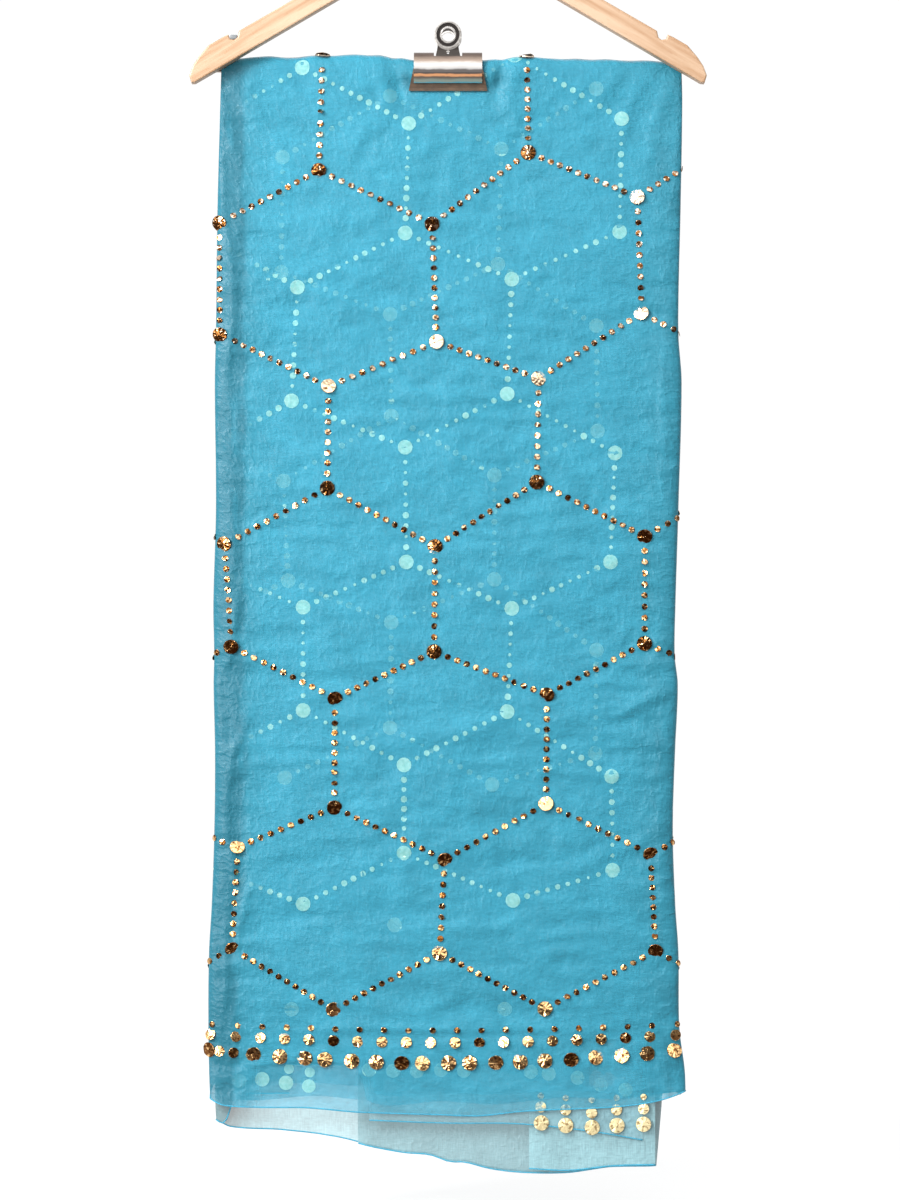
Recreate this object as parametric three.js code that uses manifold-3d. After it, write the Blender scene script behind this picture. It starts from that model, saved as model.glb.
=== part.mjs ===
// An organza saree, folded lengthwise and hung over the trouser bar of a wooden hanger,
// and held there by a sprung clip.
// Millimetres, +Z up, +X to the viewer's right, -Y towards the viewer.
// The origin is the inside of the hook's crown, where a rail carries the hanger.

import * as THREE from "three";
import { mergeVertices } from "three/addons/utils/BufferGeometryUtils.js";
import Module from "manifold-3d";

const wasm = await Module();
wasm.setup();

// Driving sizes of the hanger.
const HANGER_HALF = 222.5; // centre to tip
const ARM_THICK = 12;
const ARM_EDGE_ROUND = 1.4;
const HOOK_WIRE_R = 2;
const HOOK_INSIDE_R = 20;
const HOOK_LIFT = 192; // from the top fold of the cloth up to the inside of the crown
const SEAT_GAP = 0.3;
const SHANK_HOLE = { from: 98, length: 40 }; // up from the top fold
const WIRE_SIDES = 16;

// Driving sizes of the bar: a steel rod whose ends turn forward into the backs of the arms.
const BAR_R = 2.5;
const BAR_Y = 14.6;
const BAR_DROP = 13; // below the top fold
const BAR_HALF = 209.5;
const BAR_BEND_R = 5.5;
const BAR_IN_ARM = 7;
const BAR_HOLE_LENGTH = 20;

// Driving sizes of the cloth. A place in it is (x, drop, reach): drop is measured down from the
// top fold, and reach out from the plane of the bar, to the front or to the back.
const PLY = 1; // thickness of one stretch of cloth
const LAYER_GAP = 0.35;
const REACH_INSIDE = BAR_R + SEAT_GAP;
const REACH_OUTSIDE = 6.8;
const PACK_INSIDE = REACH_INSIDE + PLY + LAYER_GAP; // the hidden layers, inside the side folds
const PACK_OUTSIDE = REACH_OUTSIDE - PLY - 2 * LAYER_GAP;
const FOLD_WIDTH = 4; // of the round side folds, and how much of the loft widens them
const FOLD_SPREAD = 1.5;
const HEM_FOLLOWS = 260; // how far up the cloth its rows follow the hem's line
const ARC_ROWS = 4; // over the bar, from the top fold to the bar's level
const LOOSEN_FROM = 17;
const LOOSEN_TO = 72;
const LOOSEN = 1.7; // how far each half falls in below the bar
const PINCH = 2.5; // how far the clip presses each half in
const PINCH_DROP = { from: 17, full: 28, hold: 37, to: 84 };
const PINCH_HALF = { full: 37, to: 78 };

// Driving sizes of the clip, as reach and drop in its side view.
const CLIP_SHEET = 1;
const SPRING_SHEET = 0.8;
const SPRING_HALF = 29.5;
const SPRING_R = 9.15;
const SPRING_CENTRE_DROP = 7.6;
const SPRING_SKIRT = [
  { reach: 8.05, drop: 25.6 },
  { reach: 9.2, drop: 16.5 },
];
const SPRING_SLOT = { half: 12.2, deep: 15.6, tall: 12, drop: -3.4 };
const RING_R = 11.3;
const RING_ARC = { from: -0.6, to: 1.46 }; // angle of the ring's plate above its middle
const RING_HOLE_R = 5.4;
const RING_RIM_R = 1.2;
const EYE_RIM = { out: 0.7, radius: 0.9 };
const NECK_HOLE = { radius: 1.6, reach: 5.4, drop: -1.6 };
const THROUGH_PLATE = 8;

const CLOTH = { color: 0x3fa6c6, roughness: 0.6, metalness: 0 };
const BEECH = { color: 0xe6bd8f, roughness: 0.45, metalness: 0 };
const STEEL = { color: 0xc9c6c0, roughness: 0.2, metalness: 1 };

// Side edges of the front, down the cloth.
const FRONT_EDGES = [
  { drop: 0, left: -196, right: 202 },
  { drop: 46, left: -197.5, right: 203 },
  { drop: 132, left: -199.7, right: 201.5 },
  { drop: 239, left: -201, right: 199.5 },
  { drop: 284, left: -202, right: 202.3 },
  { drop: 390, left: -201, right: 199.6 },
  { drop: 476, left: -203.2, right: 197 },
  { drop: 519, left: -202.5, right: 196.3 },
  { drop: 545, left: -203, right: 199 },
  { drop: 605, left: -201.8, right: 196.5 },
  { drop: 670, left: -202.4, right: 194.7 },
  { drop: 734, left: -204.6, right: 196.8 },
  { drop: 776, left: -207, right: 199.6 },
  { drop: 840, left: -207.6, right: 200.4 },
  { drop: 885, left: -206.8, right: 205.6 },
  { drop: 960, left: -203, right: 204 },
];
const BACK_EDGES = [
  { drop: 0, left: -196, right: 202 },
  { drop: 130, left: -199, right: 200.5 },
  { drop: 420, left: -202, right: 196 },
  { drop: 700, left: -201, right: 192 },
  { drop: 890, left: -203, right: 187 },
  { drop: 965, left: -199, right: 181 },
];

// The top fold, across the cloth: its dips.
const TOP_FOLD = [
  { x: -210, dip: 6.2 },
  { x: -186, dip: 3.6 },
  { x: -158, dip: 1 },
  { x: -140, dip: 1.8 },
  { x: -122, dip: 0.2 },
  { x: -71, dip: -0.6 },
  { x: -46, dip: 0.8 },
  { x: -30, dip: 3.4 },
  { x: 30, dip: 3.6 },
  { x: 50, dip: 1.6 },
  { x: 68, dip: 1 },
  { x: 100, dip: 2.6 },
  { x: 135, dip: 3.2 },
  { x: 165, dip: 4.6 },
  { x: 210, dip: 6.1 },
];

// How much thicker each half of the bundle is than at the bar.
const LOFT = [
  { drop: 0, loft: 0 },
  { drop: 40, loft: 0.1 },
  { drop: 90, loft: 1.8 },
  { drop: 170, loft: 4.2 },
  { drop: 320, loft: 5.6 },
  { drop: 620, loft: 5.8 },
  { drop: 830, loft: 4.6 },
  { drop: 970, loft: 3.6 },
];

// Hems across the cloth: the bordered end in front with its turned-in sides, and the longer
// back with its own.
const FRONT_HEM = [
  { x: -208, drop: 901 },
  { x: -192, drop: 908 },
  { x: -120, drop: 910 },
  { x: -79, drop: 913.5 },
  { x: -7, drop: 916 },
  { x: 27, drop: 917 },
  { x: 67, drop: 912.7 },
  { x: 132, drop: 910 },
  { x: 162, drop: 907.5 },
  { x: 185, drop: 903 },
  { x: 206, drop: 895.5 },
];
const LEFT_TURN_HEM = [
  { x: -206, drop: 902 },
  { x: -79, drop: 908 },
];
const RIGHT_TURN_HEM = [
  { x: 140, drop: 903 },
  { x: 206, drop: 896 },
];
const BACK_HEM = [
  { x: -203, drop: 922 },
  { x: -190, drop: 929 },
  { x: -143, drop: 932 },
  { x: -98, drop: 937.5 },
  { x: -66, drop: 945.4 },
  { x: -37, drop: 950.5 },
  { x: -15, drop: 952.4 },
  { x: 2, drop: 958.2 },
  { x: 16, drop: 958.8 },
  { x: 38, drop: 964.3 },
  { x: 67, drop: 967.6 },
  { x: 105, drop: 967.8 },
  { x: 131, drop: 964.4 },
  { x: 144, drop: 962.6 },
  { x: 184, drop: 962 },
];
const BACK_LEFT_TURN_HEM = [
  { x: -203, drop: 922 },
  { x: -194, drop: 924 },
  { x: -184, drop: 903 },
  { x: -150, drop: 899 },
];
// How far the turned-in sides reach, as shares of the way from the left fold to the right one.
const FRONT_TURNS = { left: 0.31, right: 0.85 };
const BACK_TURNS = { left: 0.15, right: 0.31 };

// Hidden layers: their stepped lower edges, and the share of the bundle's thickness that each
// step keeps.
const PACK_STEPS = [
  { drop: 868, share: 1 },
  { drop: 869, share: 0.66 },
  { drop: 884, share: 0.66 },
  { drop: 885, share: 0.34 },
  { drop: 899, share: 0.34 },
];

// Stretches that hang out below the hidden layers: their sides, their top, how far out they
// lie, and their hems.
const MIDDLE_END = {
  left: -68,
  right: 168,
  top: 869.6,
  reach: 7.05,
  hem: [
    { x: -68, drop: 921 },
    { x: 0, drop: 923.5 },
    { x: 60, drop: 924 },
    { x: 120, drop: 930 },
    { x: 168, drop: 938 },
  ],
};
const BORDERED_END = {
  left: 70,
  right: 179,
  top: 885.6,
  reach: 5.2,
  hem: [
    { x: 70, drop: 963 },
    { x: 105, drop: 964.5 },
    { x: 140, drop: 960.8 },
    { x: 179, drop: 959.5 },
  ],
};

// The grid of the cloth: where its rows and its columns lie. The rows near the bar are shared.
const TOP_DROPS = [BAR_DROP, 17, 22, 28, 37, 50, 66, 84, 112];
const FRONT_DROPS = [
  ...TOP_DROPS, 150, 200, 255, 285, 310, 350, 400, 450, 500, 526, 548, 570, 592, 612, 650,
  705, 748, 764, 780, 812, 842, 870, 912,
];
const BACK_DROPS = [...TOP_DROPS, 170, 260, 370, 480, 590, 700, 790, 860, 905, 950];
const PACK_DROPS = [...TOP_DROPS, 170, 300, 440, 580, 720, 800];
const PANEL_COLUMNS = [0, 0.07, 0.15, 0.23, 0.31, 0.36, 0.41, 0.5, 0.59, 0.64, 0.69, 0.77, 0.85, 0.93, 1];
const PACK_END_COLUMNS = 2;
const PACK_SIDE_GAP = 4;
const PACK_SUNK = 1.4;
const PACK_EDGE_SHARE = 0.15; // of its thickness, left at its rounded sides

// Main creases of the front, as soft ridges: middle, half length, tilt in degrees, half width and height.
const FRONT_CREASES = [
  { x: -10, drop: 592, half: 190, tilt: 1, width: 13, rise: 0.9 },
  { x: 30, drop: 764, half: 170, tilt: -1, width: 12, rise: 0.8 },
  { x: -60, drop: 300, half: 140, tilt: 3, width: 14, rise: 0.8 },
  { x: -86, drop: 518, half: 50, tilt: -42, width: 9, rise: 0.7 },
  { x: 168, drop: 560, half: 34, tilt: 22, width: 8, rise: 1.1 },
  { x: 176, drop: 592, half: 30, tilt: -20, width: 8, rise: 0.8 },
  { x: -190, drop: 640, half: 60, tilt: 84, width: 8, rise: 0.7 },
  { x: 0, drop: 842, half: 195, tilt: 0, width: 6, rise: 0.6 },
];

const clamp = (t) => Math.min(1, Math.max(0, t));
const ease = (t) => clamp(t) ** 2 * (3 - 2 * clamp(t));
const ramp = (from, to, at) => ease((at - from) / (to - from));
const mix = (a, b, t) => a + (b - a) * t;
const steps = (count) => Array.from({ length: count + 1 }, (_, i) => i / count);

// Reads one column of a table at a place between its rows, on a curve through them.
function column(table, key, value) {
  const at = table.map((row) => row[key]);
  const is = table.map((row) => row[value]);
  const slope = is.map((_, i) => {
    const a = Math.max(0, i - 1);
    const b = Math.min(is.length - 1, i + 1);
    return (is[b] - is[a]) / (at[b] - at[a]);
  });
  return (place) => {
    const p = Math.min(at[at.length - 1], Math.max(at[0], place));
    const i = Math.max(0, Math.min(at.length - 2, at.findIndex((a) => a > p) - 1));
    const j = at[at.length - 1] <= p ? at.length - 2 : i;
    const width = at[j + 1] - at[j];
    const t = (p - at[j]) / width;
    const rise = 3 * t * t - 2 * t ** 3;
    const out = t ** 3 - 2 * t * t + t;
    const back = t ** 3 - t * t;
    return mix(is[j], is[j + 1], rise) + width * (out * slope[j] + back * slope[j + 1]);
  };
}

const dipAt = column(TOP_FOLD, "x", "dip");
const loftAt = column(LOFT, "drop", "loft");
const foldWidth = (loft) => FOLD_WIDTH + FOLD_SPREAD * loft;

// How far both halves fall in towards each other, below the bar and in the clip.
function fallIn(x, drop) {
  const open = LOOSEN * ramp(LOOSEN_FROM, LOOSEN_TO, drop);
  const pressed = PINCH * ramp(PINCH_DROP.from, PINCH_DROP.full, drop);
  const underClip = 1 - ramp(PINCH_HALF.full, PINCH_HALF.to, Math.abs(x));
  const nearClip = 1 - ramp(PINCH_DROP.hold, PINCH_DROP.to, drop);
  return mix(open, pressed, underClip * nearClip);
}

function creaseAt(x, drop) {
  return FRONT_CREASES.reduce((sum, crease) => {
    const angle = THREE.MathUtils.degToRad(crease.tilt);
    const dx = x - crease.x;
    const dz = crease.drop - drop;
    const along = (dx * Math.cos(angle) + dz * Math.sin(angle)) / crease.half;
    const across = (dz * Math.cos(angle) - dx * Math.sin(angle)) / crease.width;
    return sum + crease.rise * Math.exp(-(across ** 2)) * (1 - ease(Math.abs(along)));
  }, 0);
}

// A row of the cloth's grid: over the bar its angle, and below the bar its drop.
function clothRows(drops) {
  const turns = steps(ARC_ROWS).slice(0, -1);
  const over = turns.map((t) => ({ angle: (Math.PI / 2) * (1 - t), drop: BAR_DROP }));
  return [...over, ...drops.map((drop) => ({ angle: 0, drop }))];
}

// Places a point of the bundle in space. side is 1 in front and -1 behind.
function placed(side, x, reach, row, lifted, sunk = 0) {
  if (row.angle > 0) {
    const lift = BAR_DROP - REACH_OUTSIDE - dipAt(x) - sunk;
    const out = reach + lift * lifted;
    const forward = Math.max(SEAT_GAP / 2, reach * Math.cos(row.angle));
    return [x, BAR_Y - side * forward, -HOOK_LIFT - BAR_DROP + out * Math.sin(row.angle)];
  }
  return [x, BAR_Y - side * (reach - fallIn(x, row.drop)), -HOOK_LIFT - row.drop];
}

// A closed shell between two grids of points, skin(u, v, 0) outside and skin(u, v, 1) inside.
function shell(columns, rows, skin) {
  const at = [];
  const faces = [];
  const last = columns - 1;
  const id = (i, j, face) => (j * columns + i) * 2 + face;
  for (let j = 0; j < rows; j++) {
    for (let i = 0; i < columns; i++) at.push(...skin(i, j, 0), ...skin(i, j, 1));
  }
  const quad = (a, b, c, d) => faces.push(a, b, c, a, c, d);
  for (let j = 0; j < rows - 1; j++) {
    for (let i = 0; i < columns - 1; i++) {
      quad(id(i, j, 0), id(i, j + 1, 0), id(i + 1, j + 1, 0), id(i + 1, j, 0));
      quad(id(i, j, 1), id(i + 1, j, 1), id(i + 1, j + 1, 1), id(i, j + 1, 1));
    }
    quad(id(0, j, 0), id(0, j, 1), id(0, j + 1, 1), id(0, j + 1, 0));
    quad(id(last, j, 0), id(last, j + 1, 0), id(last, j + 1, 1), id(last, j, 1));
  }
  for (let i = 0; i < columns - 1; i++) {
    quad(id(i, 0, 0), id(i + 1, 0, 0), id(i + 1, 0, 1), id(i, 0, 1));
    quad(id(i, rows - 1, 0), id(i, rows - 1, 1), id(i + 1, rows - 1, 1), id(i + 1, rows - 1, 0));
  }
  return outward(geometryOf(at, faces));
}

function geometryOf(at, faces) {
  const made = new THREE.BufferGeometry();
  made.setAttribute("position", new THREE.BufferAttribute(new Float32Array(at), 3));
  made.setIndex(faces);
  return made;
}

function solidOf(geometry) {
  const plain = geometry.clone();
  plain.deleteAttribute("normal");
  plain.deleteAttribute("uv");
  const merged = mergeVertices(plain, 1e-4);
  const mesh = new wasm.Mesh({
    numProp: 3,
    vertProperties: new Float32Array(merged.attributes.position.array),
    triVerts: new Uint32Array(merged.index.array),
  });
  return new wasm.Manifold(mesh);
}

function meshGeometry(solid) {
  const mesh = solid.getMesh();
  return geometryOf(mesh.vertProperties, Array.from(mesh.triVerts));
}

// Turns a closed geometry's faces round if they point inwards.
function outward(geometry) {
  const at = geometry.attributes.position;
  const faces = geometry.index.array;
  const [a, b, c] = [new THREE.Vector3(), new THREE.Vector3(), new THREE.Vector3()];
  let volume = 0;
  for (let i = 0; i < faces.length; i += 3) {
    [a, b, c].forEach((corner, k) => corner.fromBufferAttribute(at, faces[i + k]));
    volume += a.dot(b.cross(c));
  }
  if (volume < 0) {
    for (let i = 0; i < faces.length; i += 3) [faces[i + 1], faces[i + 2]] = [faces[i + 2], faces[i + 1]];
  }
  return geometry;
}

// The section of an outer stretch: a turned-in strip, a round side fold, the wide panel, and the
// same again. Each entry holds a place across it, worked out for the edges and loft of one row.
function foldedSection(turns, edges, foldColumns) {
  const section = [];
  const foldOf = (row, side) => {
    const edge = side < 0 ? edges(row.drop).left : edges(row.drop).right;
    const half = (REACH_OUTSIDE - REACH_INSIDE - PLY + row.loft) / 2;
    return { x: edge - side * foldWidth(row.loft), half };
  };
  const turnOf = (t, side) => (row) => {
    const x = mix(foldOf(row, -1).x, foldOf(row, 1).x, t);
    return { x, reach: REACH_INSIDE + PLY / 2, across: [0, -1], turn: side, lifted: 0 };
  };
  const roundOf = (t, side) => (row) => {
    const fold = foldOf(row, side);
    const angle = Math.PI * (t - 0.5);
    const along = Math.cos(angle);
    const up = Math.sin(angle);
    const wide = foldWidth(row.loft);
    const across = new THREE.Vector2((side * along) / wide, up / fold.half).normalize();
    return {
      x: fold.x + side * along * (wide - PLY / 2),
      reach: REACH_INSIDE + PLY / 2 + fold.half * (1 + up),
      across: [across.x, across.y],
      turn: t < 0.5 ? side : 0,
      lifted: t,
    };
  };
  const panelOf = (t) => (row) => ({
    x: mix(foldOf(row, -1).x, foldOf(row, 1).x, t),
    reach: REACH_OUTSIDE - PLY / 2 + row.loft,
    across: [0, 1],
    turn: 0,
    lifted: 1,
  });
  const inward = [...PANEL_COLUMNS].reverse();
  inward.filter((t) => t > 0 && t <= turns.left).forEach((t) => section.push(turnOf(t, -1)));
  steps(foldColumns).forEach((t) => section.push(roundOf(t, -1)));
  PANEL_COLUMNS.slice(1, -1).forEach((t) => section.push(panelOf(t)));
  steps(foldColumns).reverse().forEach((t) => section.push(roundOf(t, 1)));
  inward.filter((t) => t < 1 && t >= turns.right).forEach((t) => section.push(turnOf(t, 1)));
  return section;
}

// An outer stretch of the cloth, from the top fold to its hem, in front (side 1) or behind (side -1).
function outerStretch({ side, edgeTable, turns, hems, drops, foldColumns, creased }) {
  const left = column(edgeTable, "drop", "left");
  const right = column(edgeTable, "drop", "right");
  const edges = (drop) => ({ left: left(drop), right: right(drop) });
  const section = foldedSection(turns, edges, foldColumns);
  const rows = clothRows(drops);
  const hemDrop = (place) => {
    const table = place.turn < 0 ? hems.left : place.turn > 0 ? hems.right : hems.panel;
    return column(table, "x", "drop")(place.x);
  };
  return shell(section.length, rows.length, (i, j, face) => {
    const level = { ...rows[j], loft: loftAt(rows[j].drop) };
    const rough = section[i](level);
    const stretch = level.angle > 0 ? level : hung(level, drops, hemDrop(rough));
    const place = section[i](stretch);
    const half = face === 0 ? PLY / 2 : -PLY / 2;
    const facing = creased && place.turn === 0 ? Math.max(0, place.across[1]) : 0;
    const ridge = facing * creaseAt(place.x, stretch.drop);
    const x = place.x + half * place.across[0];
    const reach = place.reach + half * place.across[1] + ridge;
    return placed(side, x, reach, stretch, place.lifted);
  });
}

// Moves a row of the grid so that the last row lies on the hem, and the rows above follow it softly.
function hung(level, drops, hem) {
  const last = drops[drops.length - 1];
  const share = ramp(last - HEM_FOLLOWS, last, level.drop);
  const drop = level.drop + (hem - last) * share;
  return { ...level, drop, loft: loftAt(drop) };
}

// The hidden layers: one rounded solid over the bar, inside the side folds, stepped at its lower edges.
function hiddenLayers() {
  const half = clothRows([...PACK_DROPS, ...PACK_STEPS.map((step) => step.drop)]);
  const behind = half.map((row) => ({ ...row, side: -1 })).reverse();
  const rows = [...behind, ...half.slice(1).map((row) => ({ ...row, side: 1 }))];
  const edge = (table, key) => column(table, "drop", key);
  const front = { left: edge(FRONT_EDGES, "left"), right: edge(FRONT_EDGES, "right") };
  const back = { left: edge(BACK_EDGES, "left"), right: edge(BACK_EDGES, "right") };
  const columns = PANEL_COLUMNS.length + 2 * PACK_END_COLUMNS;
  return shell(columns, rows.length, (i, j, face) => {
    const row = rows[j];
    const edges = row.side > 0 ? front : back;
    const loft = loftAt(row.drop);
    const wide = foldWidth(loft);
    const start = edges.left(row.drop) + wide + PACK_SIDE_GAP;
    const end = edges.right(row.drop) - wide - PACK_SIDE_GAP;
    const fromEnd = Math.min(i, columns - 1 - i) / PACK_END_COLUMNS;
    const angle = (Math.PI / 2) * clamp(fromEnd);
    const roundTo = (wide - PLY - LAYER_GAP) * Math.cos(angle);
    const inPanel = Math.min(PANEL_COLUMNS.length - 1, Math.max(0, i - PACK_END_COLUMNS));
    const across = mix(start, end, PANEL_COLUMNS[inPanel]);
    const x = i < columns / 2 ? across - roundTo : across + roundTo;
    const thick = ((PACK_OUTSIDE - PACK_INSIDE + loft) / 2) * Math.max(PACK_EDGE_SHARE, Math.sin(angle));
    const middle = (PACK_INSIDE + PACK_OUTSIDE + loft) / 2;
    const kept = (PACK_STEPS.findLast((step) => step.drop <= row.drop) ?? PACK_STEPS[0]).share;
    const reach = face === 0 ? middle - thick + 2 * thick * kept : middle - thick;
    const lifted = face === 0 ? 0.5 + angle / Math.PI : 0.5 - angle / Math.PI;
    return placed(row.side, x, reach, row, lifted, PACK_SUNK);
  });
}

// A flat stretch that hangs out below the hidden layers.
function looseEnd({ left, right, top, reach, hem }, columns, rows) {
  const hemAt = column(hem, "x", "drop");
  return shell(columns + 1, rows + 1, (i, j, face) => {
    const x = mix(left, right, i / columns);
    const drop = mix(top, hemAt(x), j / rows);
    const y = BAR_Y - reach - (face === 0 ? PLY / 2 : -PLY / 2);
    return [x, y, -HOOK_LIFT - drop];
  });
}

// A path with one ring of a bar or wire at each of its points.
class Stations extends THREE.Curve {
  constructor(points) {
    super();
    this.points = points;
  }
  getPointAt(t) {
    return this.points[Math.round(t * (this.points.length - 1))].clone();
  }
  getTangentAt(t) {
    const i = Math.round(t * (this.points.length - 1));
    const before = this.points[Math.max(0, i - 1)];
    const after = this.points[Math.min(this.points.length - 1, i + 1)];
    return after.clone().sub(before).normalize();
  }
}

function wire(points, radius, sides) {
  const section = new THREE.Shape().absarc(0, 0, radius, 0, 2 * Math.PI);
  const round = new THREE.Shape(section.getSpacedPoints(sides).slice(0, -1));
  const along = { steps: points.length - 1, bevelEnabled: false, extrudePath: new Stations(points) };
  return new THREE.ExtrudeGeometry(round, along);
}

// The hook up to its crown, x and z, and the angles at which the crown starts and ends.
const HOOK_SHANK = [
  [0, -93],
  [0, -60],
  [0, -54],
  [1.4, -50.4],
  [4.6, -46.6],
  [8.8, -43],
  [12.9, -39.2],
];
const CROWN = { from: -42, to: 204 };

// The hook: up from the joint of the arms, out to the right, over the crown and down to its
// open end.
function hookWire() {
  const r = HOOK_INSIDE_R + HOOK_WIRE_R;
  const shank = HOOK_SHANK.map(([x, z]) => new THREE.Vector3(x, 0, z));
  const crown = steps(15).map((t) => {
    const angle = THREE.MathUtils.degToRad(mix(CROWN.from, CROWN.to, t));
    return new THREE.Vector3(r * Math.cos(angle), 0, r * Math.sin(angle) - HOOK_INSIDE_R);
  });
  return wire([...shank, ...crown], HOOK_WIRE_R, WIRE_SIDES);
}

// Outline of one arm, with the slot for straps near its tip: x, and height above the top fold.
const ARM_OUTLINE = [
  [SEAT_GAP / 2, 91],
  [14, 89.5],
  [32, 82],
  [60, 65.3],
  [160, 6.6],
  [217.5, -27],
  [220.6, -27.2],
  [HANGER_HALF, -21],
  [219.6, -13],
  [214, -4.6],
  [205.7, 5],
  [194, 11.8],
  [188.8, 14.2],
  [187.2, 10.2],
  [183.6, 9.6],
  [181, 11.6],
  [179.6, 17.4],
  [132, 44.9],
  [60, 87.6],
  [30, 105],
  [14, 111.6],
  [SEAT_GAP / 2, 113.6],
];

// A round cutter that lies along Y.
function roundCutter(radius, length, sides = 14) {
  return new THREE.CylinderGeometry(radius, radius, length, sides);
}

// One arm of the hanger. side is -1 on the left and 1 on the right.
function arm(side) {
  const inset = ([x, z]) => new THREE.Vector2(side * x, z - HOOK_LIFT);
  const shape = new THREE.Shape(ARM_OUTLINE.map(inset));
  const body = new THREE.ExtrudeGeometry(shape, {
    depth: ARM_THICK - 2 * ARM_EDGE_ROUND,
    bevelSize: ARM_EDGE_ROUND,
    bevelOffset: -ARM_EDGE_ROUND,
    bevelThickness: ARM_EDGE_ROUND,
    bevelSegments: 2,
  });
  body.translate(0, 0, ARM_EDGE_ROUND - ARM_THICK / 2).rotateX(Math.PI / 2);
  const shankHole = roundCutter(HOOK_WIRE_R + SEAT_GAP, SHANK_HOLE.length, WIRE_SIDES);
  const shankMiddle = -HOOK_LIFT + SHANK_HOLE.from + SHANK_HOLE.length / 2;
  shankHole.rotateX(Math.PI / 2).translate(0, 0, shankMiddle);
  const barHole = roundCutter(BAR_R + SEAT_GAP, BAR_HOLE_LENGTH, WIRE_SIDES);
  const barMiddle = ARM_THICK / 2 - BAR_IN_ARM - SEAT_GAP + BAR_HOLE_LENGTH / 2;
  barHole.translate(side * BAR_HALF, barMiddle, -HOOK_LIFT - BAR_DROP);
  return meshGeometry(solidOf(body).subtract(solidOf(shankHole)).subtract(solidOf(barHole)));
}

// The trouser bar, straight behind the arms, with both ends turned forward into them.
function barRod() {
  const z = -HOOK_LIFT - BAR_DROP;
  const half = (side) => [
    new THREE.Vector3(side * BAR_HALF, ARM_THICK / 2 - BAR_IN_ARM, z),
    ...steps(5).map((t) => {
      const angle = (Math.PI / 2) * t;
      const x = BAR_HALF - BAR_BEND_R * (1 - Math.cos(angle));
      return new THREE.Vector3(side * x, BAR_Y - BAR_BEND_R * (1 - Math.sin(angle)), z);
    }),
  ];
  return wire([...half(-1), new THREE.Vector3(0, BAR_Y, z), ...half(1).reverse()], BAR_R, WIRE_SIDES);
}

// Side view of one jaw plate, up from its lip: reach and drop of its middle, and half its width.
const PLATE = [
  { reach: 5.4, drop: 32, half: 33.9 },
  { reach: 5.6, drop: 29.5, half: 33.5 },
  { reach: 7.75, drop: 18, half: 31 },
  { reach: 7.8, drop: 11, half: 29.3 },
  { reach: 7.75, drop: 10.4, half: 11.2 },
  { reach: 6.9, drop: 4.6, half: 10.9 },
  { reach: 5.3, drop: 0.6, half: 10.4 },
  { reach: 5.6, drop: -3.4, half: 9.5 },
  { reach: 6.5, drop: -6.6, half: 9 },
];
const RING = { reach: 8.9, drop: -15.9 };
const NECK_TOP = PLATE[PLATE.length - 1];
const RING_LEAN = (RING.reach - NECK_TOP.reach) / (RING.drop - NECK_TOP.drop);

// A jaw of the clip: its lip, the plate under the spring, the neck and the ring. side is 1 in front.
function jaw(side) {
  const ringRows = steps(8).map((t) => {
    const angle = mix(RING_ARC.from, RING_ARC.to, t);
    const drop = RING.drop - RING_R * Math.sin(angle);
    return { reach: RING.reach + RING_LEAN * (drop - RING.drop), drop, half: RING_R * Math.cos(angle) };
  });
  const rows = [...PLATE, ...ringRows];
  const normals = rows.map((_, j) => {
    const a = rows[Math.max(0, j - 1)];
    const b = rows[Math.min(rows.length - 1, j + 1)];
    return new THREE.Vector2(a.drop - b.drop, b.reach - a.reach).normalize();
  });
  const columns = 5;
  const plate = shell(columns, rows.length, (i, j, face) => {
    const off = face === 0 ? CLIP_SHEET / 2 : -CLIP_SHEET / 2;
    const reach = rows[j].reach + off * normals[j].x;
    const drop = rows[j].drop + off * normals[j].y;
    const x = mix(-rows[j].half, rows[j].half, i / (columns - 1));
    return [x, BAR_Y - side * reach, -HOOK_LIFT - drop];
  });
  const lean = side * Math.atan(RING_LEAN);
  const onRing = (geometry) =>
    geometry.rotateX(-lean).translate(0, BAR_Y - side * RING.reach, -HOOK_LIFT - RING.drop);
  const bead = (radius, thick, sides) =>
    onRing(new THREE.TorusGeometry(radius, thick, 6, sides).rotateX(Math.PI / 2));
  const rim = bead(RING_R - RING_RIM_R / 2, RING_RIM_R, 24);
  const eyeRim = bead(RING_HOLE_R + EYE_RIM.out, EYE_RIM.radius, 20);
  const eye = onRing(roundCutter(RING_HOLE_R, THROUGH_PLATE, 20));
  const neckHole = roundCutter(NECK_HOLE.radius, THROUGH_PLATE);
  neckHole.translate(0, BAR_Y - side * NECK_HOLE.reach, -HOOK_LIFT - NECK_HOLE.drop);
  const joined = solidOf(plate).add(solidOf(rim)).add(solidOf(eyeRim));
  return meshGeometry(joined.subtract(solidOf(eye)).subtract(solidOf(neckHole)));
}

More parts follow.
